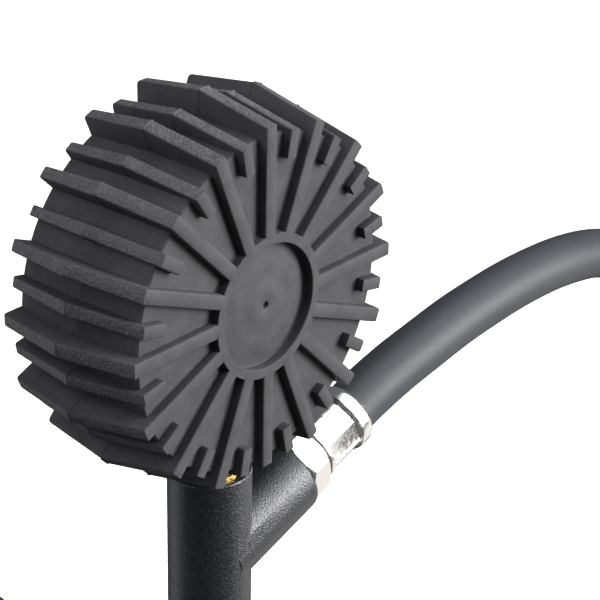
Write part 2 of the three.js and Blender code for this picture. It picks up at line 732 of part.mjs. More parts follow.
// fork-shaped thumb lever folded back over the grip, its two cheeks beside the body
function chuckLever() {
  const shape = polygon([
    [-bridgeUnder - leverSheet - 0.4, -9], [-bridgeUnder - leverSheet - 0.4, -30], [-bridgeUnder, -30],
    [-1.5, -12], [4.5, -4.5], [5.5, 0], [4.5, 4.5], [0, 6], [-4.5, 4.5],
  ]);
  const cheek = plate(shape, leverInner, leverInner + leverSheet).rotate([90, 0, 0]);
  const mirrored = plate(shape, -leverInner - leverSheet, -leverInner).rotate([90, 0, 0]);
  const half = leverInner + leverSheet;
  const bridge = block([-bridgeUnder - leverSheet - 0.4, -half, -32], [-bridgeUnder, half, -9]);
  const tip = block([-bridgeUnder - leverSheet - 2.4, -half, -34], [-bridgeUnder, half, -31]);
  const pinHole = barX(leverPinRadius + gap, -20, 20, 0, 0).rotate([0, 0, 90]);
  return cut(join([cheek, mirrored, bridge, tip]), [pinHole]);
}

function chuckPin() {
  const reach = leverInner + leverSheet + 0.8;
  return barX(leverPinRadius, -reach, reach, 0, 0).rotate([0, 0, 90]);
}

function chuckPusher() {
  return ring(2.2, sealBore - gap, headStart + 5 + gap, headStart + 7);
}

function chuckSeal() {
  const low = headStart + 7 + gap + pusherTravel;
  return turned([
    [2.6, low], [sealBore - gap, low], [sealBore - gap, headEnd - 2.3], [4.4, headEnd - 2.3],
    [3.6, headEnd - 4], [3.6, low + 2],
  ]);
}

function chuckCap() {
  const low = headEnd + gap;
  const body = turned([
    [4.6, low - 2], [sealBore - gap, low - 2], [sealBore - gap, low], [chuckHead + 0.3, low],
    [chuckHead + 0.3, low + 3], [chuckHead - 1.2, low + 4.6], [4.6, low + 4.6],
  ]);
  const grip = bar(1.1, low - 0.1, low + 5);
  const grips = placesAround(chuckHead + 1, 12).map(([x, y]) => grip.translate([x, y, 0]));
  return cut(body, grips);
}

// ---------------------------------------------------------------- gauge, drawn with its back face at Z = 0
const caseBack = pocketDepth + 2 + gap;
const caseRim = 26.9;
const lensLow = caseRim + gap + 1;
const lensThickness = 1.6;
const lensRadius = caseRadius - caseWall - gap;
const dialLow = 21;
const dialThickness = 0.8;
const bezelTop = bootDepth - 1.5 - gap;
const shaftRadius = 1;
const pinionRadius = 1.7;
const sectorPivotDrop = 11;
const sectorRadius = sectorPivotDrop - pinionRadius - gap;
const needleSweep = 270;
const needleRest = 225;          // degrees from +X, seen from the front
const sectorSweep = (needleSweep * pinionRadius) / sectorRadius;
const tubeRadius = caseRadius - 7.5;
const stemBlockHalf = 6;
const stemBlockTop = tubeRadius - 2.5;
const tubeTipAngle = THREE.MathUtils.degToRad(15);
const tubeRootAngle = 1.5 * Math.PI - Math.asin((stemBlockHalf + 0.7) / tubeRadius);
const tubeTip = [tubeRadius * Math.cos(tubeTipAngle), tubeRadius * Math.sin(tubeTipAngle)];

function rib(reachDrop, innerBack) {
  const inner = bootFront - 0.6;
  return polygon([
    [innerBack, 0], [ribBack - reachDrop, 0], [ribWidest - reachDrop * 1.1, ribWidestDepth],
    [ribFront - reachDrop, bootDepth], [inner, bootDepth], [inner, pocketDepth + 1],
    [innerBack, pocketDepth + 1],
  ]);
}

function gaugeBoot() {
  const cavity = caseRadius + gap;
  const shell = turned([
    [0, pocketDepth], [bootBack, pocketDepth], [bootBack + 0.5, ribWidestDepth], [bootFront, bootDepth],
    [caseRadius - 2.3, bootDepth], [caseRadius - 2.3, bezelTop + gap], [cavity, bezelTop + gap],
    [cavity, caseBack - gap], [0, caseBack - gap],
  ]);
  const hub = ring(hubInner, hubOuter, 0, pocketDepth + 1);
  const hubFloor = bar(hubInner + 0.5, 1.2, pocketDepth + 1);
  const button = bar(2.2, 0.6, 2);
  const ribs = [];
  for (let i = 0; i < ribPairs; i += 1) {
    const turn = (360 / ribPairs) * i;
    const half = 180 / ribPairs;
    const long = plate(rib(0, hubOuter - 0.6), -ribWidth / 2, ribWidth / 2);
    const short = plate(rib(shortRibDrop, shortRibInner), -shortRibWidth / 2, shortRibWidth / 2);
    ribs.push(long.rotate([90, 0, 0]).rotate([0, 0, turn]));
    ribs.push(short.rotate([90, 0, 0]).rotate([0, 0, turn + half]));
  }
  const stemHole = barY(stemRadius + 1.4, -60, -20, 0, stemDepth);
  const land = block([-stemLandHalf, -ribWidest - 1, -1], [stemLandHalf, -stemLand, bootDepth + 1]);
  return cut(join([shell, hub, hubFloor, button, ...ribs]), [stemHole, land]);
}

function gaugeCase() {
  const body = turned([
    [0, caseBack], [caseRadius, caseBack], [caseRadius, caseRim], [caseRadius - caseWall, caseRim],
    [caseRadius - caseWall, caseBack + caseWall], [0, caseBack + caseWall],
  ]);
  return cut(body, [barY(stemRadius + gap, -60, -20, 0, stemDepth)]);
}

function bezel() {
  return turned([
    [lensRadius + gap, caseRim + gap], [caseRadius, caseRim + gap], [caseRadius, bezelTop - 0.5],
    [caseRadius - 0.5, bezelTop], [lensRadius - 1.4, bezelTop],
    [lensRadius - 1.4, lensLow + lensThickness + gap],
    [lensRadius + gap, lensLow + lensThickness + gap],
  ]);
}

function gaugeStem() {
  const shaft = barY(stemRadius, -neckDrop - 0.4, -stemBlockTop - 3, 0, stemDepth);
  const thread = barY(pipeBore - gap, -neckDrop - stemReach, -neckDrop - 0.3, 0, stemDepth);
  const body = block([-stemBlockHalf, -tubeRadius - 5, 9], [stemBlockHalf, -stemBlockTop, 19]);
  return cut(join([shaft, thread, body]), [barY(2, -60, -25, 0, stemDepth)]);
}

function bourdonTube() {
  const shape = new THREE.Shape();
  shape.absarc(0, 0, tubeRadius + 1, tubeTipAngle, tubeRootAngle, false);
  shape.absarc(0, 0, tubeRadius - 1, tubeRootAngle, tubeTipAngle, true);
  const pin = bar(1, 12, 18.1).translate([...tubeTip, 0]);
  const pad = bar(2.2, 11, 16.4).translate([...tubeTip, 0]);
  return join([plate(shape, 10, 16, 14), pad, pin]);
}

function tipLink() {
  const slotY = -sectorPivotDrop - 5.7;
  const low = 17;
  const high = 17.8;
  const eye = bar(2.2, low, high).translate([...tubeTip, 0]);
  const slotPlate = plate(roundedRectangle(5.2, 2.8, 1.5), low, high).translate([0, slotY, 0]);
  const across = 4.5 - tubeTip[0];
  const down = slotY - tubeTip[1];
  const turn = THREE.MathUtils.radToDeg(Math.atan2(down, across));
  const rod = block([0, -1, low], [Math.hypot(across, down), 1, high]).rotate([0, 0, turn])
    .translate([...tubeTip, 0]);
  const slot = block([-3.9, slotY - 1.4, 0], [3.9, slotY + 1.4, 30]);
  const hole = bar(1.3, 0, 30).translate([...tubeTip, 0]);
  return cut(join([eye, slotPlate, rod]), [slot, hole]);
}

function movementFrame() {
  const low = gap - stemBlockTop;
  const high = 9;
  const outline = roundedRectangle(9, (high - low) / 2, 3);
  const middle = (high + low) / 2;
  const back = plate(outline, 9.4, 10.4).translate([0, middle, 0]);
  const front = plate(outline, 19.3, 20.3).translate([0, middle, 0]);
  const pillars = [[-7.4, -3], [7.4, -3], [0, 6.5]].map(([x, y]) => bar(1.1, 9.6, 20).translate([x, y, 0]));
  const shaftHole = bar(shaftRadius + gap, 0, 30);
  const pivotHole = bar(shaftRadius + gap, 0, 30).translate([0, -sectorPivotDrop, 0]);
  return cut(join([back, front, ...pillars]), [shaftHole, pivotHole]);
}

// drawn about its own pivot, at the start of its swing
function sectorGear() {
  const reach = THREE.MathUtils.degToRad(sectorSweep / 2 + 5);
  const fan = new THREE.Shape();
  fan.moveTo(0, -1.6);
  fan.lineTo(sectorRadius * Math.sin(reach), sectorRadius * Math.cos(reach));
  fan.absarc(0, 0, sectorRadius, Math.PI / 2 - reach, Math.PI / 2 + reach, false);
  const low = 14.6;
  const high = 16.4;
  const body = plate(fan, low, high, 6);
  const tail = block([-1, -6.6, low], [1, 0, high]);
  const pin = bar(0.7, low, 18).translate([0, -5.7, 0]);
  const shaft = bar(shaftRadius, 9, 20.7);
  return join([body, tail, pin, shaft, bar(2, low, high)]).rotate([0, 0, -sectorSweep / 2]);
}

function pinionShaft() {
  return join([bar(shaftRadius, 8.8, 24), bar(pinionRadius, 14.2, 16.8)]);
}

function dial() {
  return cut(bar(lensRadius - 0.4, dialLow, dialLow + dialThickness), [bar(1.8, 0, 40)]);
}

function needle() {
  const tip = lensRadius - 5.5;
  const outline = [[-8, -1.3], [-8, 1.3], [0, 1.2], [tip, 0.35], [tip, -0.35], [0, -1.2]];
  const blade = plate(polygon(outline), 22.7, 23.3);
  const hub = bar(3, 22.5, 25);
  const hole = bar(shaftRadius + gap, 0, 24.3);
  return cut(blade.add(hub), [hole]).rotate([0, 0, needleRest]);
}

// ---------------------------------------------------------------- assembly
const pump = new THREE.Group();

const base = new THREE.Group();
pump.add(base);
add(base, 'base_plate', basePlate(), blackPaint);
feet.forEach(([x, y], i) => add(base, `rubber_foot_${i + 1}`, rubberFoot().translate([x, y, 0]), padRubber));
allScrews.forEach(({ x, y, seat }, i) => {
  add(base, `screw_${i + 1}`, screw(seat).translate([x, y, 0]), steel);
});
add(base, 'hinge_bracket', hingeBracket(), blackPaint);

const barrel = new THREE.Group();
barrel.position.set(0, barrelY, 0);
pump.add(barrel);
add(barrel, 'barrel_foot', barrelFoot(), blackPaint);
add(barrel, 'barrel_tube', ring(barrelBore, barrelRadius, barrelBottom, barrelTop), steel);
add(barrel, 'barrel_cap', barrelCap(), blackPaint);
add(barrel, 'rod_bush', rodBush(), bronze);
add(barrel, 'piston_rod', pistonRod(), steel);
add(barrel, 'piston_plate', pistonPlate(), aluminium);
add(barrel, 'piston_cup', pistonCup(), leather);
add(barrel, 'piston_nut', pistonNut(), steel);
add(barrel, 'return_spring', returnSpring(), springSteel);

const rodHead = new THREE.Group();
rodHead.position.set(0, 0, rollerRest);
barrel.add(rodHead);
add(rodHead, 'rod_fork', rodFork(), steel);
add(rodHead, 'roller', roller(), steel);
add(rodHead, 'roller_pin', rollerPin(), steel);

const hinge = new THREE.Group();
hinge.position.set(0, hingeY, hingeHeight);
pump.add(hinge);
add(hinge, 'hinge_pin', hingePin(), steel);
add(hinge, 'bush_left', treadleBush(-1), bronze);
add(hinge, 'bush_right', treadleBush(1), bronze);

const lever = new THREE.Group();
lever.rotation.x = -treadleTilt;
hinge.add(lever);
add(lever, 'treadle', treadle(), blackPaint);
add(lever, 'treadle_pad', treadlePad(), padRubber);

const outlet = new THREE.Group();
outlet.position.set(0, pipeY, 0);
pump.add(outlet);
add(pump, 'outlet_tube', outletTube(), steel);
add(outlet, 'pipe_socket', pipeSocket(), blackPaint);
add(outlet, 'check_ball', checkBall(), steel);
add(outlet, 'check_spring', checkSpring(), springSteel);
add(outlet, 'spring_retainer', springRetainer(), brass);
add(pump, 'standpipe', standpipe(), blackPaint);
add(pump, 'pipe_stay', pipeStay(), blackPaint);

const gauge = new THREE.Group();
gauge.position.set(0, pipeY + stemDepth, gaugeHeight);
gauge.rotation.x = Math.PI / 2;
pump.add(gauge);
add(gauge, 'gauge_boot', gaugeBoot(), bootRubber);
add(gauge, 'gauge_case', gaugeCase(), steel);
add(gauge, 'gauge_bezel', bezel(), nickel);
add(gauge, 'gauge_lens', bar(lensRadius, lensLow, lensLow + lensThickness), clear);
add(gauge, 'gauge_stem', gaugeStem(), brass);
add(gauge, 'bourdon_tube', bourdonTube(), bronze);
add(gauge, 'tip_link', tipLink(), brass);
add(gauge, 'movement_frame', movementFrame(), brass);
add(gauge, 'sector_gear', sectorGear().translate([0, -sectorPivotDrop, 0]), brass);
add(gauge, 'pinion_shaft', pinionShaft(), brass);
add(gauge, 'gauge_dial', dial(), white);
add(gauge, 'gauge_needle', needle(), redPaint);

add(pump, 'hose_nut', alongBranch(hoseNut()), nickel);
add(pump, 'hose_ferrule', alongBranch(ferrule(ferruleStart, ferruleEnd)), nickel);
add(pump, 'hose', solid(sweep(hosePath(), hoseRadius, 8, 34)), hoseRubber);

const chuck = new THREE.Group();
chuck.position.set(chuckX, chuckY, chuckHeight);
chuck.rotation.set(0, Math.PI / 2, THREE.MathUtils.degToRad(chuckTurn), 'ZYX');
pump.add(chuck);
add(chuck, 'chuck_ferrule', ferrule(gap, chuckSleeveEnd), nickel);
add(chuck, 'chuck_body', chuckBody(), brass);
add(chuck, 'chuck_pusher', chuckPusher(), brass);
add(chuck, 'chuck_seal', chuckSeal(), sealRubber);
add(chuck, 'chuck_cap', chuckCap(), nickel);

const thumb = new THREE.Group();
thumb.position.set(0, 0, leverPinAlong);
chuck.add(thumb);
add(thumb, 'chuck_pin', chuckPin(), steel);
add(thumb, 'chuck_lever', chuckLever(), blackPaint);

export default pump;
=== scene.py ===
# %% [markdown]
# A foot air pump with a pressure gauge in a finned rubber boot.
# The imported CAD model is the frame: every piece made here sits where a CAD piece sits, in metres.
# X is to the right of the person using it, -Y points at that person and Z is up.

import json
import math

import bmesh
import bpy
from mathutils import Matrix, Vector

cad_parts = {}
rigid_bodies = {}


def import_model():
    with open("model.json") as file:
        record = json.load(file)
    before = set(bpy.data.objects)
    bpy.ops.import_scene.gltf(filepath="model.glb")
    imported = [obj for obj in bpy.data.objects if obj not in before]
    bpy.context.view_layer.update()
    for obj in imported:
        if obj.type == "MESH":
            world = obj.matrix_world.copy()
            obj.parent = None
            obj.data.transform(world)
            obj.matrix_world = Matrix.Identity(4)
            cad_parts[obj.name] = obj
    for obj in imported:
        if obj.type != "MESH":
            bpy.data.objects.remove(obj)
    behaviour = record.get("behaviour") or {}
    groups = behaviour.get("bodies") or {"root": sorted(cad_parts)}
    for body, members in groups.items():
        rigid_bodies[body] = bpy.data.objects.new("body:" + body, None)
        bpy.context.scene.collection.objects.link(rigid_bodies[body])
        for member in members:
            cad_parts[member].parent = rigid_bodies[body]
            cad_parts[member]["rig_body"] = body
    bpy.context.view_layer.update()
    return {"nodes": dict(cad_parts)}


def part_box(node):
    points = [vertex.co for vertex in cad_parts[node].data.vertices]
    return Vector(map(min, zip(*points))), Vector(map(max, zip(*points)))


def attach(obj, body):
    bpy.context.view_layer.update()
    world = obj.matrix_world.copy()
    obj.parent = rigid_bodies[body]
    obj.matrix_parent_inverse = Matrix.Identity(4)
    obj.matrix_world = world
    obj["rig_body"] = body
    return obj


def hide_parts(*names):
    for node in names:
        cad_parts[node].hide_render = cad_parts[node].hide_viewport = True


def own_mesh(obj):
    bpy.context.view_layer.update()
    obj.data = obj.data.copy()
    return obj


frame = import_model()
MM = 0.001

# %% [markdown]
# The camera comes first, because everything else is judged through it.
# A long lens from behind and above the gauge makes the back of the boot the main subject.
# A look-at constraint would lose the slight roll, so the camera's three directions are given outright.

# %% Place the camera
case_low, case_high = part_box("gauge_case")
boot_low, boot_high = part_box("gauge_boot")
gauge_back = Vector(((case_low.x + case_high.x) / 2, boot_high.y, (case_low.z + case_high.z) / 2))
camera_away = Vector((0.25876, 0.22172, 0.16596))
camera_right = Vector((-0.64531, 0.76368, 0.01900)).normalized()
camera_back = Vector((0.69321, 0.57496, 0.43461)).normalized()
camera_up = camera_back.cross(camera_right).normalized()

lens = bpy.data.cameras.new("camera")
lens.sensor_width = 36
lens.lens = 124.2
lens.clip_start = 0.01
camera = bpy.data.objects.new("camera", lens)
directions = Matrix((camera_right, camera_up, camera_back)).transposed()
camera.matrix_world = Matrix.Translation(gauge_back + camera_away) @ directions.to_4x4()
bpy.context.scene.collection.objects.link(camera)
bpy.context.scene.camera = camera
print("camera is", round(camera_away.length, 3), "m from the gauge's back face")

# %% [markdown]
# Nearly all the finishes are one thing: a base colour that drifts a little over some centimetres,
# a roughness that drifts with it, and a fine grain that only bends the light.
# Noise in the object's own coordinates gives all three, needs no unwrapping and stays put in every view.
# Stretching the noise along one axis turns the grain into a brushed or drawn finish, and letting the fine
# noise lighten the colour as well gives painted glints: lighter specks in the colour that stand in for the
# sparkle of powder coat.

# %% A finish from noise
def noise_of(nodes, links, vector, size, detail=3.0):
    noise = nodes.new("ShaderNodeTexNoise")
    noise.inputs["Scale"].default_value = 1 / size
    noise.inputs["Detail"].default_value = detail
    links.new(vector, noise.inputs["Vector"])
    return noise.outputs["Fac"]


def ramp_of(nodes, links, value, low, high, start=0.35, end=0.65):
    spread = nodes.new("ShaderNodeMapRange")
    spread.inputs["From Min"].default_value = start
    spread.inputs["From Max"].default_value = end
    spread.inputs["To Min"].default_value = low
    spread.inputs["To Max"].default_value = high
    links.new(value, spread.inputs["Value"])
    return spread.outputs["Result"]


def finish(name, colour, roughness, metallic=0.0, grain=0.0005, relief=0.00004, patch=0.02, drift=0.12,
           rough_drift=0.06, stretch=(1, 1, 1), painted_glint=0.0, specular=0.5):
    material = bpy.data.materials.new(name)
    material.use_nodes = True
    nodes, links = material.node_tree.nodes, material.node_tree.links
    shader = nodes["Principled BSDF"]
    shader.inputs["Metallic"].default_value = metallic
    shader.inputs["Specular IOR Level"].default_value = specular
    place = nodes.new("ShaderNodeTexCoord")
    mapping = nodes.new("ShaderNodeMapping")
    mapping.inputs["Scale"].default_value = stretch
    links.new(place.outputs["Object"], mapping.inputs["Vector"])

    slow = noise_of(nodes, links, place.outputs["Object"], patch)
    mix = nodes.new("ShaderNodeMix")
    mix.data_type = "RGBA"
    mix.inputs["A"].default_value = (*[value * (1 - drift) for value in colour], 1)
    mix.inputs["B"].default_value = (*[value * (1 + drift) for value in colour], 1)
    links.new(ramp_of(nodes, links, slow, 0, 1), mix.inputs["Factor"])
    fine = noise_of(nodes, links, mapping.outputs["Vector"], grain, 2.0)
    # The fine noise lightens the colour in specks: painted glints standing in for the sparkle of light on the
    # surface.
    grain_and_painted_glints = nodes.new("ShaderNodeMix")
    grain_and_painted_glints.data_type = "RGBA"
    grain_and_painted_glints.inputs["B"].default_value = (*[min(1, value * (1 + painted_glint)) for value in colour], 1)
    links.new(mix.outputs["Result"], grain_and_painted_glints.inputs["A"])
    links.new(ramp_of(nodes, links, fine, 0, 1, 0.5, 0.7), grain_and_painted_glints.inputs["Factor"])
    links.new(grain_and_painted_glints.outputs["Result"], shader.inputs["Base Color"])

    links.new(ramp_of(nodes, links, fine, roughness - rough_drift, roughness + rough_drift),
              shader.inputs["Roughness"])
    bump = nodes.new("ShaderNodeBump")
    bump.inputs["Distance"].default_value = relief
    links.new(fine, bump.inputs["Height"])
    links.new(bump.outputs["Normal"], shader.inputs["Normal"])
    return material


# %% The finishes
# Rubber and powder coat get painted glints: lighter specks in their colour that stand in for sparkle.
BOOT = finish("boot_rubber", (0.040, 0.039, 0.041), 0.66, grain=0.00035, relief=0.00004, patch=0.004,
              drift=0.14, painted_glint=0.4, specular=0.2)
# The rib tips get a textured rubber: its coarser grain is real, and its lighter colour is painted light, a
# lit copy of the boot rubber.
BOOT_TIPS_TEXTURED_PAINTED_LIT = finish("boot_rubber_textured_painted_lit", (0.050, 0.048, 0.050), 0.60, grain=0.0005, relief=0.00022,
                   patch=0.004, drift=0.18, painted_glint=0.8, specular=0.35)
POWDER = finish("powder_coat", (0.008, 0.0085, 0.010), 0.36, grain=0.00035, relief=0.00012, patch=0.03,
                painted_glint=2.5, specular=0.5)
HOSE = finish("hose_rubber", (0.028, 0.030, 0.034), 0.55, grain=0.0004, relief=0.000012, patch=0.03,
              drift=0.1, specular=0.3)
NICKEL = finish("nickel_plate", (0.90, 0.88, 0.85), 0.22, 1.0, grain=0.0008, relief=0.0000015, patch=0.01,
                drift=0.03)
STEEL = finish("zinc_plate", (0.56, 0.57, 0.58), 0.30, 1.0, grain=0.0006, relief=0.00001, patch=0.02,
               drift=0.08)
DRAWN = finish("drawn_steel", (0.58, 0.59, 0.60), 0.26, 1.0, grain=0.0006, relief=0.000012, patch=0.03,
               drift=0.06, stretch=(1, 1, 0.04))
BRASS = finish("turned_brass", (0.84, 0.55, 0.18), 0.24, 1.0, grain=0.0005, relief=0.00001, patch=0.01,
               drift=0.08)
BRONZE = finish("bearing_bronze", (0.55, 0.36, 0.17), 0.38, 1.0, grain=0.0003, relief=0.00002, patch=0.006)
MAT = finish("mat_rubber", (0.024, 0.024, 0.025), 0.72, grain=0.0006, relief=0.00005, patch=0.03)
SEAL = finish("seal_rubber", (0.016, 0.016, 0.017), 0.5, grain=0.0004, relief=0.00001, patch=0.01)
LEATHER = finish("cup_leather", (0.16, 0.075, 0.03), 0.7, grain=0.0009, relief=0.00008, patch=0.008,
                 drift=0.25)
ENAMEL = finish("dial_enamel", (0.86, 0.86, 0.84), 0.45, grain=0.0008, relief=0.000004, patch=0.03,
                drift=0.02)
INK = finish("dial_ink", (0.012, 0.012, 0.012), 0.6, grain=0.0004, relief=0.000002, patch=0.004)
RED = finish("needle_paint", (0.55, 0.03, 0.02), 0.35, grain=0.0005, relief=0.000005, patch=0.01)
ALLOY = finish("turned_alloy", (0.66, 0.67, 0.68), 0.32, 1.0, grain=0.0006, relief=0.00001, patch=0.01)
print("finishes:", len(bpy.data.materials))

# %% [markdown]
# The gauge's window is clear plastic: a tinted, slightly scuffed surface that lets most light through.
# Real refraction would need a thick closed lens and many light bounces, and transmission on a thin disc
# is enough here.

# %% Clear plastic for the window
CLEAR = finish("clear_plastic", (0.94, 0.96, 0.96), 0.05, grain=0.002, relief=0.000002, patch=0.03,
               drift=0.01, rough_drift=0.03)
CLEAR.node_tree.nodes["Principled BSDF"].inputs["Transmission Weight"].default_value = 1.0
CLEAR.node_tree.nodes["Principled BSDF"].inputs["IOR"].default_value = 1.2

# %% [markdown]
# A turned piece is drawn as one closed outline of radius and height and spun about an axis.
# Its corners are rounded in the outline itself, because a machined or moulded edge is never quite sharp
# and that thin round is what catches the light. Outlines are in millimetres, meshes in metres.

# %% Outlines and turned pieces
def rounded(outline, radius, steps=4, corners=None):
    points = []
    count = len(outline)
    for i, corner in enumerate(outline):
        here = Vector(corner)
        before, after = Vector(outline[i - 1]) - here, Vector(outline[(i + 1) % count]) - here
        reach = min(radius, 0.45 * before.length, 0.45 * after.length)
        on_axis = corner[0] < 1e-6 or (corners is not None and i not in corners)
        if on_axis or reach < 1e-4:
            points.append(here)
            continue
        start, end = here + before.normalized() * reach, here + after.normalized() * reach
        for step in range(steps + 1):
            t = step / steps
            points.append(start * (1 - t) ** 2 + here * 2 * t * (1 - t) + end * t ** 2)
    return [(point.x, point.y) for point in points]


def turned(outline, segments=96):
    shape = bmesh.new()
    rings = []
    for radius, height in outline:
        around = 1 if radius < 1e-6 else segments
        rings.append([shape.verts.new((radius * MM * math.cos(2 * math.pi * i / segments),
                                       radius * MM * math.sin(2 * math.pi * i / segments),
                                       height * MM)) for i in range(around)])
    for ring, other in zip(rings, rings[1:] + rings[:1]):
        if len(ring) == len(other) == 1:
            continue
        for i in range(segments):
            corners = [ring[i % len(ring)], ring[(i + 1) % len(ring)],
                       other[(i + 1) % len(other)], other[i % len(other)]]
            shape.faces.new(list(dict.fromkeys(corners)))
    bmesh.ops.recalc_face_normals(shape, faces=shape.faces)
    return shape


def moved(shape, place):
    bmesh.ops.transform(shape, matrix=place, verts=shape.verts)
    return shape


def on_circle(radius, angle, height=0.0):
    """The place of a shape moved out along a circle of this radius, and up to a height."""
    return Matrix.Translation((radius * MM * math.cos(angle), radius * MM * math.sin(angle), height))


def slab(outline, low, high, edge=0.0, steps=2):
    """A flat outline in X and Y made solid from low to high, its rims rounded by edge."""
    shape = bmesh.new()
    bottom = [shape.verts.new((x * MM, y * MM, low * MM)) for x, y in outline]
    top = [shape.verts.new((x * MM, y * MM, high * MM)) for x, y in outline]
    shape.faces.new(bottom)
    shape.faces.new(top)
    for i in range(len(outline)):
        j = (i + 1) % len(outline)
        shape.faces.new((bottom[i], bottom[j], top[j], top[i]))
    bmesh.ops.recalc_face_normals(shape, faces=shape.faces)
    if edge:
        rims = [rim for rim in shape.edges if abs(rim.verts[0].co.z - rim.verts[1].co.z) < 1e-9]
        bmesh.ops.bevel(shape, geom=rims, offset=edge * MM, segments=steps, profile=0.5, affect="EDGES")
    return shape


def rounded_box(half_width, half_length, corner, steps=12):
    outline = []
    for turn, x, y in ((0, 1, 1), (90, -1, 1), (180, -1, -1), (270, 1, -1)):
        for step in range(steps + 1):
            angle = math.radians(turn + 90 * step / steps)
            outline.append((x * (half_width - corner) + corner * math.cos(angle),
                            y * (half_length - corner) + corner * math.sin(angle)))
    return outline


# %% [markdown]
# Shapes are joined and cut with exact booleans, so that a piece ends up as one clean skin:
# overlapping loose parts would look the same from outside but leave stray faces within.

# %% Join, cut and finish a piece
def thing(shape, name="work"):
    mesh = bpy.data.meshes.new(name)
    shape.to_mesh(mesh)
    shape.free()
    item = bpy.data.objects.new(name, mesh)
    bpy.context.scene.collection.objects.link(item)
    return item


def mesh_of(item):
    """The solid mesh that a curve or a text draws."""
    return bpy.data.meshes.new_from_object(item.evaluated_get(bpy.context.evaluated_depsgraph_get()))


def gathered(shapes):
    whole = bmesh.new()
    for shape in shapes:
        part = bpy.data.meshes.new("part")
        shape.to_mesh(part)
        shape.free()
        whole.from_mesh(part)
        bpy.data.meshes.remove(part)
    return whole


def combined(base, *steps):
    """base is a shape; each step is (operation, list of shapes that don't touch one another)."""
    body = thing(base)
    tools = []
    for operation, shapes in steps:
        tool = thing(gathered(shapes))
        tools.append(tool)
        modifier = body.modifiers.new("step", "BOOLEAN")
        modifier.operation = operation
        modifier.solver = "EXACT"
        modifier.object = tool
    evaluated = body.evaluated_get(bpy.context.evaluated_depsgraph_get())
    result = bmesh.new()
    result.from_mesh(evaluated.to_mesh())
    evaluated.to_mesh_clear()
    for item in [body, *tools]:
        mesh = item.data
        bpy.data.objects.remove(item)
        bpy.data.meshes.remove(mesh)
    bmesh.ops.remove_doubles(result, verts=result.verts, dist=1e-7)
    return result


def piece(name, shape, material, node, place=None, sharp=32):
    """Puts a finished shape where its CAD piece is: it hides that node and moves with its body."""
    if place is not None:
        moved(shape, place)
    bmesh.ops.recalc_face_normals(shape, faces=shape.faces)
    item = thing(shape, name)
    item.data.materials.append(material)
    item.data.shade_smooth()
    item.data.set_sharp_from_angle(angle=math.radians(sharp))
    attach(item, frame["nodes"][node]["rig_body"])
    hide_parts(node)
    print(name, "has", len(item.data.polygons), "faces")
    return item


def axis_place(x, y, z, towards):
    """The place of a shape drawn along +Z whose axis starts at a point and runs towards a direction."""
    turn = Vector((0, 0, 1)).rotation_difference(Vector(towards))
    return Matrix.Translation((x * MM, y * MM, z * MM)) @ turn.to_matrix().to_4x4()


# %% [markdown]
# The hose is a fixed length of 12 mm air hose, about half a metre on a foot pump.
# It leaves the ferrule in line with the branch, bends over under its own weight, comes down to the floor
# beside the pump and ends in the tyre chuck. A curve with a round bevel is the plainest honest tube.
# The route is the CAD model's own list of points, joined by the same kind of smooth curve.

# %% The route of the hose
pipe_low, pipe_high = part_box("standpipe")
PIPE_Y = 122.0
PIPE_TOP = pipe_high.z / MM
BRANCH_HEIGHT = PIPE_TOP - 19.5
RISE = math.radians(18)
branch_way = Vector((-math.cos(RISE), 0, math.sin(RISE)))
hose_mouth = Vector((0, PIPE_Y, BRANCH_HEIGHT)) + branch_way * 45.5
chuck_start = Vector((-238, -22, 10.8))
HOSE_RADIUS = 6
hose_points = [
    (-58.7, 122, 263.3), (-69.6, 122, 265.1), (-79.8, 122, 266.65), (-90.7, 122, 267.6),
    (-102, 122, 268.1), (-113.7, 122, 267.8), (-125, 121.9, 266.6), (-137.3, 121.7, 264), (-155, 121, 257),
    (-172, 120, 246.5), (-188, 118.5, 231), (-201, 116.5, 211.5), (-211, 114, 188), (-218, 111, 162),
    (-223, 107.5, 136), (-227, 103, 110), (-231, 97, 84.5), (-235, 89, 60), (-239, 77, 37.5),
    (-241.5, 60, 20), (-242.6, 39, 9.6), (-241.2, 17, 6.4), (-239.2, -2, 8.5),
]


def smooth_line(points, steps=8):
    """A centripetal Catmull-Rom curve through every point."""
    ends = [points[0] * 2 - points[1], *points, points[-1] * 2 - points[-2]]
    line = []
    for a, b, c, d in zip(ends, ends[1:], ends[2:], ends[3:]):
        ta, tb, tc = (b - a).length ** 0.5, (c - b).length ** 0.5, (d - c).length ** 0.5
        out = ((b - a) / ta - (c - a) / (ta + tb) + (c - b) / tb) * tb
        into = ((c - b) / tb - (d - b) / (tb + tc) + (d - c) / tc) * tb
        for step in range(steps):
            t = step / steps
            line.append(b * (2 * t ** 3 - 3 * t ** 2 + 1) + out * (t ** 3 - 2 * t ** 2 + t)
                        + c * (3 * t ** 2 - 2 * t ** 3) + into * (t ** 3 - t ** 2))
    return [*line, points[-1]]


hose_line = smooth_line([
    hose_mouth, hose_mouth + branch_way * 5, *[Vector(point) for point in hose_points],
    chuck_start + Vector((0, 5, 0)), chuck_start,
])

# %% The hose
hose_curve = bpy.data.curves.new("air_hose", "CURVE")
hose_curve.dimensions = "3D"
hose_curve.bevel_depth = HOSE_RADIUS * MM
hose_curve.bevel_resolution = 10
hose_curve.use_fill_caps = True
spline = hose_curve.splines.new("POLY")
spline.points.add(len(hose_line) - 1)
for point, spot in zip(spline.points, hose_line):
    point.co = (*(spot * MM), 1)
spline.use_smooth = True
hose_curve.materials.append(HOSE)
hose = bpy.data.objects.new("air_hose", hose_curve)
bpy.context.scene.collection.objects.link(hose)
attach(hose, "pump_frame")
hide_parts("hose")

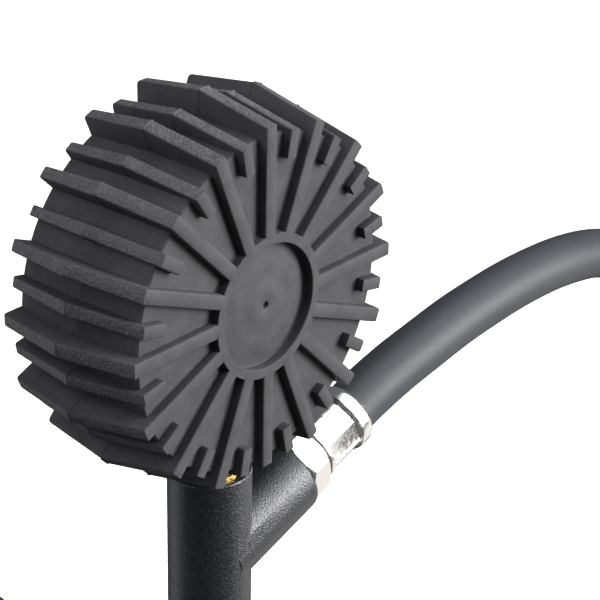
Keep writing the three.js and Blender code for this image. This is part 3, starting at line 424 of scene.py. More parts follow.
# %% [markdown]
# The boot is one moulding: a drum with sixteen long ribs and sixteen short ones between them.
# The long ribs run in over the back face to a flat ring round the hub, so the back reads as a wheel of spokes
# with sunken pockets. Each rib has a kink at mid depth, where the two halves of the mould met, and tapers
# both ways from it.
# The drum is turned, each rib is a slab with rounded rims, and one exact join welds them.

# %% The drum of the boot
case_radius = (case_high.x - case_low.x) / 2 / MM
boot_depth = (boot_high.y - boot_low.y) / MM
boot_back = case_radius + 2.3
boot_front = boot_back - 0.8
POCKET = 1.8
KINK = 16.3
FLASH = 0.16
HUB_IN, HUB_OUT = 12.25, 14.2

hub_floor = [
    (0, 1.75), (0.55, 1.7), (0.75, 1.1), (1.1, 0.98), (3.6, 1.05), (4.2, 1.22), (6.2, 1.34), (7.2, 1.32),
    (8.2, 1.42), (9.8, 1.66), (11.2, 1.90), (12.1, 2.0),
]
drum_outline = [
    *hub_floor, (HUB_IN, 1.86), (HUB_IN, 0.14), (HUB_IN + 0.14, 0), (HUB_OUT - 0.1, 0), (HUB_OUT, 0.1),
    (HUB_OUT, POCKET - 0.25), (HUB_OUT + 0.25, POCKET), (boot_back - 0.25, POCKET),
    (boot_back, POCKET + 0.25), (boot_back + 0.45, KINK - 0.5), (boot_back + 0.62, KINK - 0.12),
    (boot_back + 0.62, KINK + 0.12), (boot_back + 0.42, KINK + 0.5), (boot_front, boot_depth - 0.5),
    (boot_front - 0.5, boot_depth), (case_radius - 1.9, boot_depth), (case_radius - 2.3, boot_depth - 0.4),
    (case_radius - 2.3, boot_depth - 1.5), (case_radius + 0.3, boot_depth - 1.5),
    (case_radius + 0.3, POCKET + 2.0), (0, POCKET + 2.0),
]
drum = turned(drum_outline, 160)


# %% The ribs
def rib(back, widest, front, inner, thickness, turn):
    outline = rounded([
        (inner, -0.01), (back, -0.01), (widest - 0.12, KINK - 0.35), (widest + 0.12, KINK),
        (widest - 0.12, KINK + 0.3), (front, boot_depth), (boot_front - 0.8, boot_depth),
        (boot_front - 0.8, POCKET + 1), (inner, POCKET + 1),
    ], 1.0, 5, corners=[5])
    shape = slab(outline, -thickness / 2, thickness / 2, edge=0.34, steps=3)
    for depth in (KINK - FLASH, KINK, KINK + FLASH):
        bmesh.ops.bisect_plane(shape, geom=[*shape.verts, *shape.edges, *shape.faces],
                               plane_co=(0, depth * MM, 0), plane_no=(0, 1, 0))
    for vertex in shape.verts:
        radius, depth, across = vertex.co
        narrow = 1 - 0.2 * max(0.0, depth / MM - KINK) / (boot_depth - KINK)
        if abs(depth / MM - KINK) < 0.01:
            narrow = 1 + 2 * 0.6 * FLASH / thickness
        vertex.co = (radius, across * narrow, depth)
    moved(shape, Matrix.Rotation(turn, 4, "Z"))
    bmesh.ops.recalc_face_normals(shape, faces=shape.faces)
    return shape


RIB_PAIRS = 16
LONG_RIB, SHORT_RIB = 2.9, 2.55
ribs = []
for i in range(RIB_PAIRS):
    turn = 2 * math.pi * i / RIB_PAIRS
    ribs.append(rib(boot_back + 2.5, boot_back + 5.7, boot_front + 4.3, HUB_OUT - 0.5, LONG_RIB, turn))
    ribs.append(rib(boot_back + 0.8, boot_back + 3.8, boot_front + 2.5, boot_back - 4.7, SHORT_RIB,
                    turn + math.pi / RIB_PAIRS))

gauge_place = Matrix.Translation(gauge_back) @ Matrix.Rotation(math.pi / 2, 4, "X")
STEM_DEPTH = 15
stem_way_out = turned([(0, 0), (7.2, 0), (7.2, 40), (0, 40)], 48)
moved(stem_way_out, axis_place(0, -20, STEM_DEPTH, (0, -1, 0)))
LAND = boot_back + 0.6
land = slab([(-10.5, -LAND - 10), (10.5, -LAND - 10), (10.5, -LAND), (-10.5, -LAND)], -1, boot_depth + 1)
boot = combined(drum, ("UNION", ribs), ("DIFFERENCE", [land]), ("DIFFERENCE", [stem_way_out]))
boot = piece("rubber_boot", boot, BOOT, "gauge_boot", gauge_place, sharp=28)
# The outward faces of the ribs take the lit copy: real texture, with painted light in its lighter colour.
boot.data.materials.append(BOOT_TIPS_TEXTURED_PAINTED_LIT)
for face in boot.data.polygons:
    out = face.center - gauge_back
    out.y = 0
    if out.length > (boot_back + 0.9) * MM and face.normal.dot(out.normalized()) > 0.75:
        face.material_index = 1

# %% [markdown]
# The standpipe and its side branch are one black powder-coated piece.
# Powder coat flows before it sets, so the rim of the pipe and the end of the branch are visibly rounded, and
# its orange-peel grain is about half a millimetre: coarse enough to sparkle in the soft light, with painted
# glints added as lighter specks in its colour.

# %% The standpipe with its branch
PIPE_RADIUS, PIPE_BORE, BRANCH_RADIUS, BRANCH_BORE = 8.4, 6.8, 8.6, 4.5
pipe_foot = pipe_low.z / MM
pipe_place = Matrix.Translation((0, PIPE_Y * MM, 0))
pipe = turned(rounded([(0, pipe_foot), (PIPE_RADIUS, pipe_foot), (PIPE_RADIUS, PIPE_TOP), (0, PIPE_TOP)],
                      0.6), 128)
moved(pipe, pipe_place)
branch_place = axis_place(0, PIPE_Y, BRANCH_HEIGHT, branch_way)
branch = turned(rounded([(0, 0), (BRANCH_RADIUS, 0), (BRANCH_RADIUS, 25), (0, 25)], 1.5, 8, corners=[2]), 128)
branch_bore = turned([(0, 0), (BRANCH_BORE, 0), (BRANCH_BORE, 27), (0, 27)], 64)
for shape in (branch, branch_bore):
    moved(shape, branch_place)
bore = turned([(0, pipe_foot - 1), (PIPE_BORE, pipe_foot - 1), (PIPE_BORE, PIPE_TOP - 0.5),
               (PIPE_BORE + 0.5, PIPE_TOP + 0.1), (0, PIPE_TOP + 0.1)], 96)
moved(bore, pipe_place)
standpipe = combined(pipe, ("UNION", [branch]), ("DIFFERENCE", [bore]), ("DIFFERENCE", [branch_bore]))
standpipe = piece("standpipe_and_branch", standpipe, POWDER, "standpipe", sharp=40)

# %% [markdown]
# The gauge's brass stem screws down into the pipe. A little of it shows between the boot and the pipe's rim,
# so its thread is real geometry: a row of shallow grooves, which is all that a thread shows at this size.

# %% The brass stem
stem_low, stem_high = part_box("gauge_stem")
stem_foot, stem_head = stem_low.z / MM, stem_high.z / MM
thread_top = PIPE_TOP - 2
stem_outline = [(0, stem_foot), (5.9, stem_foot), (6.3, stem_foot + 0.5)]
height = stem_foot + 1
while height < thread_top - 1:
    stem_outline += [(6.4, height), (5.9, height + 0.35), (6.4, height + 0.7)]
    height += 0.9
stem_outline += [(6.4, thread_top), (6.4, PIPE_TOP - 0.6), (5.8, PIPE_TOP), (5.8, stem_head - 2),
                 (5.4, stem_head), (0, stem_head)]
piece("brass_stem", turned(stem_outline, 64), BRASS, "gauge_stem", pipe_place)

# %% [markdown]
# The hose nut is a hexagon with both ends turned to a chamfer, which leaves the familiar curved corners.
# Cutting a hexagonal bar with a turned double cone makes exactly that shape, as the lathe does.
# The ferrule is a sleeve squeezed by an eight-jaw crimper, with eight flats and a round collar left at the
# hose end.
# Only the CAD nut has the nipple and barb that run on inside the branch and the ferrule.

# %% The hose nut
NUT_START, NUT_LENGTH, ACROSS_FLATS = 25.3, 5.3, 14.0
corner = ACROSS_FLATS / math.sqrt(3)
hexagon = [(corner * math.cos(math.radians(60 * i + 12)), corner * math.sin(math.radians(60 * i + 12)))
           for i in range(6)]
nut_end = NUT_START + NUT_LENGTH
cone = turned([(0, NUT_START), (7.0, NUT_START), (corner + 0.05, NUT_START + 0.7),
               (corner + 0.05, nut_end - 0.7), (7.0, nut_end), (0, nut_end)], 96)
nut = combined(slab(hexagon, NUT_START - 0.5, nut_end + 0.5), ("INTERSECT", [cone]))
piece("hose_nut_plated", nut, NICKEL, "hose_nut", branch_place, sharp=20)


# %% The crimped ferrule
def crimped(start, end, radius):
    """A sleeve from start to end along Z, squeezed to eight flats between a lip and a round collar."""
    collar = end - 3.7
    sleeve = turned(rounded([
        (3.4, start), (radius - 0.45, start), (radius, start + 0.5), (radius, collar - 0.6),
        (radius + 0.42, collar + 0.2), (radius + 0.42, end - 0.9), (radius - 0.1, end), (3.4, end),
    ], 0.35, 3), 128)
    flats = []
    for i in range(8):
        jaw = slab(rounded_box(2.62, (collar - start - 1.5) / 2, 1.0, 6), 0, 3, edge=0.55, steps=3)
        flat = Matrix.Translation((0, 0, (radius - 0.55) * MM))
        stand = Matrix.Rotation(math.pi / 2, 4, "Y") @ flat @ Matrix.Rotation(math.pi / 2, 4, "Z")
        middle = Matrix.Translation((0, 0, (start + 1.0 + collar) / 2 * MM))
        moved(jaw, middle @ Matrix.Rotation(math.radians(45 * i + 35), 4, "Z") @ stand)
        flats.append(jaw)
    return combined(sleeve, *[("DIFFERENCE", [flat]) for flat in flats])


FERRULE_START, FERRULE_END = 30.9, 45.2
piece("hose_ferrule_crimped", crimped(FERRULE_START, FERRULE_END, 6.85), NICKEL, "hose_ferrule",
      branch_place, sharp=25)

# %% [markdown]
# The gauge's front is hidden in the first view but seen from the user's side:
# a turned bezel, a domed clear window, a white enamelled dial with a printed scale, and a red needle.
# The scale runs over 270 degrees like any pressure gauge, with plain numbers. Numbers come from text curves
# turned into thin meshes, which keeps them crisp at any distance.

# %% Dial, window and bezel
DIAL_LOW, DIAL_TOP = 21.0, 21.8
LENS_RADIUS = case_radius - 1.5
dial = turned(rounded([(0, DIAL_LOW), (LENS_RADIUS - 0.4, DIAL_LOW), (LENS_RADIUS - 0.4, DIAL_TOP),
                       (1.8, DIAL_TOP), (1.8, DIAL_LOW)], 0.1)[1:], 128)
dial = piece("dial_plate", dial, ENAMEL, "gauge_dial", gauge_place)
window = turned(rounded([(0, 28.2), (LENS_RADIUS, 28.2), (LENS_RADIUS, 29.3), (LENS_RADIUS - 2, 29.8),
                         (0, 29.8)], 0.3), 128)
piece("gauge_window", window, CLEAR, "gauge_lens", gauge_place)
bezel = turned(rounded([
    (LENS_RADIUS + 0.3, 27.2), (case_radius, 27.2), (case_radius, 29.9), (case_radius - 0.5, 30.4),
    (LENS_RADIUS - 1.0, 30.4), (LENS_RADIUS - 1.5, 30.1), (LENS_RADIUS + 0.3, 30.1),
], 0.2), 128)
piece("gauge_rim", bezel, NICKEL, "gauge_bezel", gauge_place)

# %% The printed scale
SWEEP, REST_ANGLE, TOP_NUMBER = 270, 225, 12
marks = []
for i in range(TOP_NUMBER * 5 + 1):
    main = i % 5 == 0
    reach, half = (4.4, 0.28) if main else (2.4, 0.13)
    mark = slab([(LENS_RADIUS - 4.2 - reach, -half), (LENS_RADIUS - 4.2, -half), (LENS_RADIUS - 4.2, half),
                 (LENS_RADIUS - 4.2 - reach, half)], DIAL_TOP - 0.02, DIAL_TOP + 0.05)
    angle = math.radians(REST_ANGLE - SWEEP * i / (TOP_NUMBER * 5))
    moved(mark, Matrix.Rotation(angle, 4, "Z"))
    marks.append(mark)
for number in range(0, TOP_NUMBER + 1, 2):
    text = bpy.data.curves.new("number", "FONT")
    text.body = str(number)
    text.size = 4.2 * MM
    text.extrude = 0.03 * MM
    text.align_x, text.align_y = "CENTER", "CENTER"
    item = bpy.data.objects.new("number", text)
    bpy.context.scene.collection.objects.link(item)
    bpy.context.view_layer.update()
    figures = bmesh.new()
    figures.from_mesh(mesh_of(item))
    bpy.data.objects.remove(item)
    angle = math.radians(REST_ANGLE - SWEEP * number / TOP_NUMBER)
    spot = on_circle(LENS_RADIUS - 12.2, angle, (DIAL_TOP + 0.02) * MM)
    moved(figures, spot)
    marks.append(figures)
scale = thing(gathered(marks), "dial_scale")
scale.data.transform(gauge_place)
scale.data.materials.append(INK)
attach(scale, "pump_frame")

# %% The needle
blade = slab([(-9, -1.5), (-8.4, 0), (-9, 1.5), (-3, 0.9), (0, 1.0), (LENS_RADIUS - 6.5, 0.25),
              (LENS_RADIUS - 5.6, 0), (LENS_RADIUS - 6.5, -0.25), (0, -1.0), (-3, -0.9)], 22.7, 23.3,
             edge=0.08)
boss = turned(rounded([(0, 22.5), (3, 22.5), (3, 24.4), (2.2, 25), (0, 25)], 0.3), 48)
needle = combined(blade, ("UNION", [boss]))
piece("needle_red", needle, RED, "gauge_needle",
      gauge_place @ Matrix.Rotation(math.radians(REST_ANGLE), 4, "Z"))

# %% [markdown]
# The base is a pressed steel tray: a flat top, a soft rolled edge and a short skirt, powder coated.
# Rings of the same rounded rectangle at different heights and insets give the rolled edge in one skin,
# and the holes are then cut through it.

# %% The base tray
def tray(half_width, half_length, corner, profile):
    """A skin through rings of a rounded rectangle; profile is a closed list of (inset, height)."""
    shape = bmesh.new()
    rings = []
    for inset, height in profile:
        outline = rounded_box(half_width - inset, half_length - inset, max(corner - inset, 0.5), 16)
        rings.append([shape.verts.new((x * MM, y * MM, height * MM)) for x, y in outline])
    for ring, other in zip(rings, rings[1:]):
        for i in range(len(ring)):
            j = (i + 1) % len(ring)
            shape.faces.new((ring[i], ring[j], other[j], other[i]))
    shape.faces.new(rings[0])
    shape.faces.new(rings[-1])
    bmesh.ops.recalc_face_normals(shape, faces=shape.faces)
    return shape


base_low, base_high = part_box("base_plate")
HALF_WIDTH, HALF_LENGTH = base_high.x / MM, base_high.y / MM
TOP, SKIRT = base_high.z / MM, base_low.z / MM
PARTS_FLOOR = 18.3
SCREW_WAY = 3.3
AIR_LINE = 28
roll = [(4.0 * (1 - math.sin(math.radians(a))),
         TOP - 4.0 * (1 - math.cos(math.radians(a)))) for a in range(0, 91, 15)]
under_roll = [(2.5 + 1.5 * (1 - math.sin(math.radians(a))), TOP - 4.0 + 1.5 * math.cos(math.radians(a)))
              for a in range(90, -1, -30)]
base = tray(HALF_WIDTH, HALF_LENGTH, 20,
            [*roll, (0, SKIRT + 0.6), (0.5, SKIRT), (2.0, SKIRT), (2.5, SKIRT + 0.6), *under_roll])


def screw_boxes():
    return [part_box(f"screw_{i}") for i in range(1, 8)]


holes = []
for low, high in screw_boxes():
    centre = (low + high) / 2 / MM
    hole = turned([(0, 0), (SCREW_WAY, 0), (SCREW_WAY, TOP + 1), (0, TOP + 1)], 32)
    moved(hole, Matrix.Translation((centre.x * MM, centre.y * MM, 0)))
    holes.append(hole)
barrel_low, barrel_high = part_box("barrel_tube")
BARREL_Y = (barrel_low.y + barrel_high.y) / 2 / MM
for side in (-1, 1):
    hole = turned([(0, 0), (3.5, 0), (3.5, TOP + 1), (0, TOP + 1)], 48)
    moved(hole, Matrix.Translation((side * 0.061, BARREL_Y * MM, 0)))
    holes.append(hole)
for i in range(1, 5):
    low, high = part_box(f"rubber_foot_{i}")
    hole = turned([(0, 0), (5.3, 0), (5.3, TOP + 1), (0, TOP + 1)], 48)
    moved(hole, Matrix.Translation(((low.x + high.x) / 2, (low.y + high.y) / 2, 0)))
    holes.append(hole)
piece("base_tray", combined(base, ("DIFFERENCE", holes)), POWDER, "base_plate", sharp=40)

# %% Feet and screws
foot_outline = rounded([(0, 0), (8.5, 0), (10, 1.6), (9.5, 15.2), (5, 15.2), (5, 18.3), (6.6, 18.3),
                        (6.2, 19.6), (0, 20.3)], 0.6)
for i in range(1, 5):
    low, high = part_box(f"rubber_foot_{i}")
    middle = (low + high) / 2
    piece(f"foot_pad_{i}", turned(foot_outline, 64), MAT, f"rubber_foot_{i}",
          Matrix.Translation((middle.x, middle.y, 0)))

for i, (low, high) in enumerate(screw_boxes(), start=1):
    middle, head, tail = (low + high) / 2, high.z / MM, low.z / MM
    six = [(4.82 * math.cos(math.radians(60 * k + 30 * (i % 2))),
            4.82 * math.sin(math.radians(60 * k + 30 * (i % 2))))
           for k in range(6)]
    dome = turned([(0, head - 3.6), (4.4, head - 3.6), (4.9, head - 3.3), (4.9, head - 0.7), (4.2, head),
                   (1.6, head - 0.15), (0, head - 0.2)], 48)
    shank = turned([(0, tail), (2.7, tail), (3, tail + 0.4), (3, head - 3.4), (0, head - 3.4)], 32)
    nut_low = turned([(0, 10.7), (4.4, 10.7), (4.9, 11.0), (4.9, 14.9), (4.4, 15.2), (0, 15.2)], 48)
    lower = combined(slab(six, 10.6, 15.3), ("INTERSECT", [nut_low]))
    whole = combined(slab(six, head - 4, head + 0.5), ("INTERSECT", [dome]), ("UNION", [shank]),
                     ("UNION", [lower]))
    piece(f"hex_screw_{i}", whole, STEEL, f"screw_{i}", Matrix.Translation((middle.x, middle.y, 0)), sharp=25)

# %% [markdown]
# The pump itself: a casting holds a drawn steel barrel, and a knurled cap closes it.
# All of these are turned pieces, so they come from outlines with rounded corners.

# %% Barrel, casting and cap
barrel_place = Matrix.Translation((0, BARREL_Y * MM, 0))
CASTING_TOP, BARREL_RADIUS, BARREL_BORE = 36.0, 25.0, 22.0
casting = turned(rounded([
    (0, PARTS_FLOOR), (38, PARTS_FLOOR), (38, 24.3), (31.5, 25.3), (30, 27), (30, 44), (25.3, 44),
    (25.3, CASTING_TOP), (0, CASTING_TOP),
], 1.2), 128)
boss_out = turned(rounded([(0, 26), (9, 26), (9, 40), (0, 40)], 1.0, corners=[2]), 64)
boss_bore = turned([(0, 32), (5.3, 32), (5.3, 41), (0, 41)], 48)
for shape in (boss_out, boss_bore):
    moved(shape, axis_place(0, 0, AIR_LINE, (0, 1, 0)))
casting_cuts = []
for i, (low, high) in enumerate(screw_boxes()[:3]):
    middle = (low + high) / 2
    cutter = turned([(0, 10), (SCREW_WAY, 10), (SCREW_WAY, 24.31), (5.8, 24.31), (5.8, 33), (0, 33)], 48)
    moved(cutter, Matrix.Translation((middle.x, middle.y - BARREL_Y * MM, 0)))
    casting_cuts.append(cutter)
casting = combined(casting, ("UNION", [boss_out]), ("DIFFERENCE", [boss_bore]), ("DIFFERENCE", casting_cuts))
piece("barrel_casting", casting, POWDER, "barrel_foot", barrel_place, sharp=35)

tube_low, tube_high = barrel_low.z / MM, barrel_high.z / MM
tube = turned(rounded([(BARREL_BORE, tube_low), (BARREL_RADIUS, tube_low), (BARREL_RADIUS, tube_high),
                       (BARREL_BORE, tube_high)], 0.4), 128)
piece("barrel_drawn", tube, DRAWN, "barrel_tube", barrel_place)

CAP_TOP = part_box("barrel_cap")[1].z / MM
cap = turned(rounded([
    (8.3, tube_high + 0.3), (25.3, tube_high + 0.3), (25.3, tube_high - 12), (29, tube_high - 12),
    (29, CAP_TOP - 1.5), (27.5, CAP_TOP), (8.3, CAP_TOP),
], 0.7), 144)
grooves = []
for i in range(36):
    groove = turned([(0, tube_high - 13), (0.9, tube_high - 13), (0.9, CAP_TOP + 1), (0, CAP_TOP + 1)], 16)
    angle = math.radians(10 * i)
    moved(groove, on_circle(29.3, angle))
    grooves.append(groove)
vents = []
for i in range(4):
    vent = turned([(0, tube_high - 1), (2, tube_high - 1), (2, CAP_TOP + 1), (0, CAP_TOP + 1)], 32)
    angle = math.radians(90 * i)
    moved(vent, on_circle(16, angle))
    vents.append(vent)
piece("barrel_cap_knurled", combined(cap, ("DIFFERENCE", grooves), ("DIFFERENCE", vents)), POWDER,
      "barrel_cap", barrel_place, sharp=30)

# %% Bush, rod and roller
bush_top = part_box("rod_bush")[1].z / MM
rod_bush = turned(rounded([(5.3, tube_high - 4), (8, tube_high - 4), (8, CAP_TOP + 0.3),
                           (12, CAP_TOP + 0.3), (12, bush_top), (5.3, bush_top)], 0.35), 64)
piece("rod_bush_bronze", rod_bush, BRONZE, "rod_bush", barrel_place)
rod_low, rod_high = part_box("piston_rod")
foot, head = rod_low.z / MM, rod_high.z / MM
rod = turned(rounded([(0, foot), (3.5, foot), (3.5, foot + 19.8), (5, foot + 19.8), (5, head), (0, head)],
                     0.3), 64)
piece("piston_rod_ground", rod, DRAWN, "piston_rod", barrel_place)
roller_low, roller_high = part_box("roller")
roller_middle = (roller_low + roller_high) / 2 / MM
wheel = turned(rounded([(3.3, -7), (10, -7), (11, -6), (11, 6), (10, 7), (3.3, 7)], 0.5), 96)
piece("track_roller", wheel, STEEL, "roller", axis_place(*roller_middle, (1, 0, 0)))

# %% [markdown]
# The treadle is a folded channel with a wide foot plate and a ribbed rubber mat on it.
# It is drawn level, with the hinge at the origin and the lever along -Y, and then tilted to its rest angle,
# which is set by half the stroke over the lever's arm.

# %% The treadle
ROLLER_REST = roller_middle.z
HINGE_Y = 88.0
STROKE, ARM = 40.0, HINGE_Y - BARREL_Y
HINGE_HEIGHT = ROLLER_REST - STROKE / 2
tilt = math.atan(STROKE / 2 / ARM)
treadle_place = Matrix.Translation((0, HINGE_Y * MM, HINGE_HEIGHT * MM)) @ Matrix.Rotation(-tilt, 4, "X")
UNDER, OVER = 11.3, 14.3
PAD_MIDDLE = -182.0
web = slab([(-22, -182), (22, -182), (22, 14), (-22, 14)], UNDER, OVER, edge=0.4)
plate_outline = rounded_box(42, 44, 14, 16)
foot_plate = slab(plate_outline, UNDER - 7, OVER, edge=0.9, steps=3)
hollow = slab(rounded_box(39, 41, 11, 16), UNDER - 9, UNDER)
for shape in (foot_plate, hollow):
    moved(shape, Matrix.Translation((0, PAD_MIDDLE * MM, 0)))
side_outline = rounded([(14, OVER - 0.6), (14, -8), (8, -12), (-10, -12), (-95, -3), (-128, UNDER - 7),
                        (-196, UNDER - 7), (-196, OVER - 0.6)], 2.5, corners=[1, 2, 3, 4, 5])
stand_up = Matrix(((0, 0, 1, 0), (1, 0, 0, 0), (0, 1, 0, 0), (0, 0, 0, 1)))
flanges = []
for low in (-22, 19):
    flange = slab(side_outline, low, low + 3, edge=0.35)
    moved(flange, stand_up)
    flanges.append(flange)
bush_hole = turned([(0, -50), (7.9, -50), (7.9, 50), (0, 50)], 64)
moved(bush_hole, axis_place(0, 0, 0, (1, 0, 0)))
treadle = combined(foot_plate, ("DIFFERENCE", [hollow]), ("UNION", [web]), ("UNION", flanges),
                   ("DIFFERENCE", [bush_hole]))
piece("treadle_pressed", treadle, POWDER, "treadle", treadle_place, sharp=35)

mat_base = slab(rounded_box(39, 41, 11, 16), OVER + 0.3, OVER + 2.9, edge=0.6, steps=3)
bars = [slab(rounded_box(34, 1.8, 0.9, 4), OVER + 2, OVER + 4.9, edge=0.5, steps=3) for _ in range(9)]
for i, rung in enumerate(bars):
    moved(rung, Matrix.Translation((0, (i - 4) * 8.6 * MM, 0)))
mat = combined(mat_base, ("UNION", bars))
piece("treadle_mat", mat, MAT, "treadle_pad", treadle_place @ Matrix.Translation((0, PAD_MIDDLE * MM, 0)),
      sharp=35)

# %% [markdown]
# Two cheeks on a common web carry the hinge pin. The cheeks are plate with rounded rims and a window
# each, cut to save weight. The pin is a turned pin with a formed head.

# %% Hinge bracket and pin
top_arc = [(HINGE_Y + 13 * math.cos(math.radians(a)),
            HINGE_HEIGHT + 13 * math.sin(math.radians(a))) for a in range(0, 181, 9)]
cheek_outline = [(50, PARTS_FLOOR), (114, PARTS_FLOOR), (114, 38.3), *top_arc, (50, 38.3)]
window_outline = rounded([(72, 48.3), (100, 48.3), (91, HINGE_HEIGHT - 34), (83, HINGE_HEIGHT - 34)], 4)
cheeks = []
for low in (-30, 26):
    cheek = slab(cheek_outline, low, low + 4, edge=0.5)
    moved(cheek, stand_up)
    cheeks.append(cheek)
window_cut = slab(window_outline, -50, 50)
moved(window_cut, stand_up)
bracket_web = slab([(-29.5, 50), (29.5, 50), (29.5, 92), (-29.5, 92)], PARTS_FLOOR, 22.3, edge=0.4)
pin_hole = turned([(0, -50), (5.3, -50), (5.3, 50), (0, 50)], 64)
moved(pin_hole, axis_place(0, HINGE_Y, HINGE_HEIGHT, (1, 0, 0)))
web_holes = []
for low, high in screw_boxes()[5:]:
    middle = (low + high) / 2
    hole = turned([(0, 10), (SCREW_WAY, 10), (SCREW_WAY, 30), (0, 30)], 32)
    moved(hole, Matrix.Translation((middle.x, middle.y, 0)))
    web_holes.append(hole)
bracket = combined(bracket_web, ("UNION", cheeks), ("DIFFERENCE", [window_cut]), ("DIFFERENCE", [pin_hole]),
                   ("DIFFERENCE", web_holes))
piece("hinge_bracket_folded", bracket, POWDER, "hinge_bracket", sharp=35)

pin = turned(rounded([(0, -34.3), (8, -34.3), (8, -30.3), (5, -30.3), (5, 30.3), (7, 30.3), (7, 32.8),
                      (0, 32.8)], 0.8), 64)
piece("hinge_pin_headed", pin, STEEL, "hinge_pin", axis_place(0, HINGE_Y, HINGE_HEIGHT, (1, 0, 0)))

# %% [markdown]
# The air goes from the casting through a short steel tube to the socket that holds the standpipe.
# A strap ties the standpipe to the hinge bracket.
# The narrow air passages inside this socket and inside the barrel's casting are only in the CAD model.

# %% Air tube, socket and strap
tube_low, tube_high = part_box("outlet_tube")
air_tube = turned(rounded([(3, tube_low.y / MM), (5, tube_low.y / MM), (5, tube_high.y / MM),
                           (3, tube_high.y / MM)], 0.3), 64)
piece("air_tube", air_tube, STEEL, "outlet_tube", axis_place(0, 0, AIR_LINE, (0, 1, 0)))

SOCKET_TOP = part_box("pipe_socket")[1].z / MM
socket = turned(rounded([
    (0, PARTS_FLOOR), (25, PARTS_FLOOR), (25, 23.3), (15.5, 24.3), (14, 26), (14, SOCKET_TOP - 1),
    (13, SOCKET_TOP), (8.7, SOCKET_TOP), (8.7, 49.25), (5.2, 49.25), (5.2, 32), (0, 32),
], 0.9, corners=[2, 3, 4, 5, 6]), 96)
socket_boss = turned(rounded([(0, 8), (9, 8), (9, 24), (0, 24)], 1.0, corners=[2]), 64)
socket_bore = turned([(0, 16), (5.3, 16), (5.3, 25), (0, 25)], 48)
for shape in (socket_boss, socket_bore):
    moved(shape, axis_place(0, 0, AIR_LINE, (0, -1, 0)))
chamber = turned([(0, 31.9), (5.2, 31.9), (5.2, 49.25), (8.7, 49.25), (8.7, SOCKET_TOP + 1),
                  (0, SOCKET_TOP + 1)], 64)
socket_cuts = []
for low, high in screw_boxes()[3:5]:
    middle = (low + high) / 2
    cutter = turned([(0, 10), (SCREW_WAY, 10), (SCREW_WAY, 23.31), (5.8, 23.31), (5.8, 32), (0, 32)], 48)
    moved(cutter, Matrix.Translation((middle.x, middle.y - PIPE_Y * MM, 0)))
    socket_cuts.append(cutter)
socket = combined(socket, ("UNION", [socket_boss]), ("DIFFERENCE", [socket_bore]),
                  ("DIFFERENCE", [chamber]), ("DIFFERENCE", socket_cuts))
piece("pipe_socket_cast", socket, POWDER, "pipe_socket", pipe_place, sharp=35)

stay_low, stay_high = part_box("pipe_stay")
strap_low, strap_high = stay_low.z / MM, stay_high.z / MM
strap_y = PIPE_Y - 11.2
clamp = turned(rounded([(8.7, strap_low), (11.2, strap_low), (11.2, strap_high), (8.7, strap_high)], 0.4), 96)
moved(clamp, pipe_place)
strap_outline = rounded([(-25.7, strap_y - 20), (-23.2, strap_y - 20), (-23.2, strap_y), (23.2, strap_y),
                         (23.2, strap_y - 20), (25.7, strap_y - 20), (25.7, strap_y + 2.5),
                         (-25.7, strap_y + 2.5)], 1.6, corners=[2, 3, 6, 7])
strap = slab(strap_outline, strap_low, strap_high, edge=0.4)
clear_way = turned([(0, strap_low - 1), (8.7, strap_low - 1), (8.7, strap_high + 1), (0, strap_high + 1)], 64)
moved(clear_way, pipe_place)
piece("pipe_strap", combined(strap, ("UNION", [clamp]), ("DIFFERENCE", [clear_way])), POWDER, "pipe_stay",
      sharp=35)

# %% [markdown]
# The chuck clips on a tyre valve: a turned brass body, a plated cap, and a forked thumb lever folded back
# over the grip. It is drawn along +Z from the end of the hose and laid along -Y, with the lever on top.

# %% The tyre chuck
LEVER_PIN = 36
chuck_place = Matrix.Translation(chuck_start * MM) @ Matrix(((0, 1, 0, 0), (0, 0, -1, 0), (-1, 0, 0, 0),
                                                            (0, 0, 0, 1)))
chuck_ferrule = piece("chuck_ferrule_crimped", crimped(0.3, 14.6, 6.85), NICKEL, "chuck_ferrule",
                      chuck_place, sharp=25)
chuck_core = turned(rounded([
    (0, 14.9), (7, 14.9), (7, 17.6), (6, 18.6), (6, 20.6), (7.5, 22.6), (7.5, 46.8),
    (9.6, 48.0), (10, 48.4), (10, 66), (8, 66), (8, 53), (0, 53),
], 0.5), 96)
core_cuts = [turned([(0, 10), (1.8, 10), (1.8, 60), (0, 60)], 32)]
rings_cut = [turned([(7.15, 38.5 + 1.6 * i), (9, 38.2 + 1.6 * i), (9, 39.4 + 1.6 * i),
                     (7.15, 39.1 + 1.6 * i)], 96) for i in range(4)]
pin_way = turned([(0, -20), (2.1, -20), (2.1, 20), (0, 20)], 32)
moved(pin_way, axis_place(0, 0, LEVER_PIN, (0, 1, 0)))
chuck_core = combined(chuck_core, ("DIFFERENCE", core_cuts), ("DIFFERENCE", [pin_way]),
                      ("DIFFERENCE", rings_cut))
chuck_core = piece("chuck_core", chuck_core, BRASS, "chuck_body", chuck_place, sharp=30)

chuck_nose = turned(rounded([(4.6, 64.3), (7.7, 64.3), (7.7, 66.3), (10.3, 66.3), (10.3, 69.3), (8.8, 70.9),
                             (4.6, 70.9)], 0.35), 96)
nose_cuts = []
for i in range(24):
    groove = turned([(0, 66), (0.55, 66), (0.55, 72), (0, 72)], 12)
    angle = math.radians(15 * i)
    moved(groove, on_circle(10.55, angle))
    nose_cuts.append(groove)
chuck_nose = piece("chuck_nose", combined(chuck_nose, ("DIFFERENCE", nose_cuts)), NICKEL, "chuck_cap",
                   chuck_place, sharp=30)

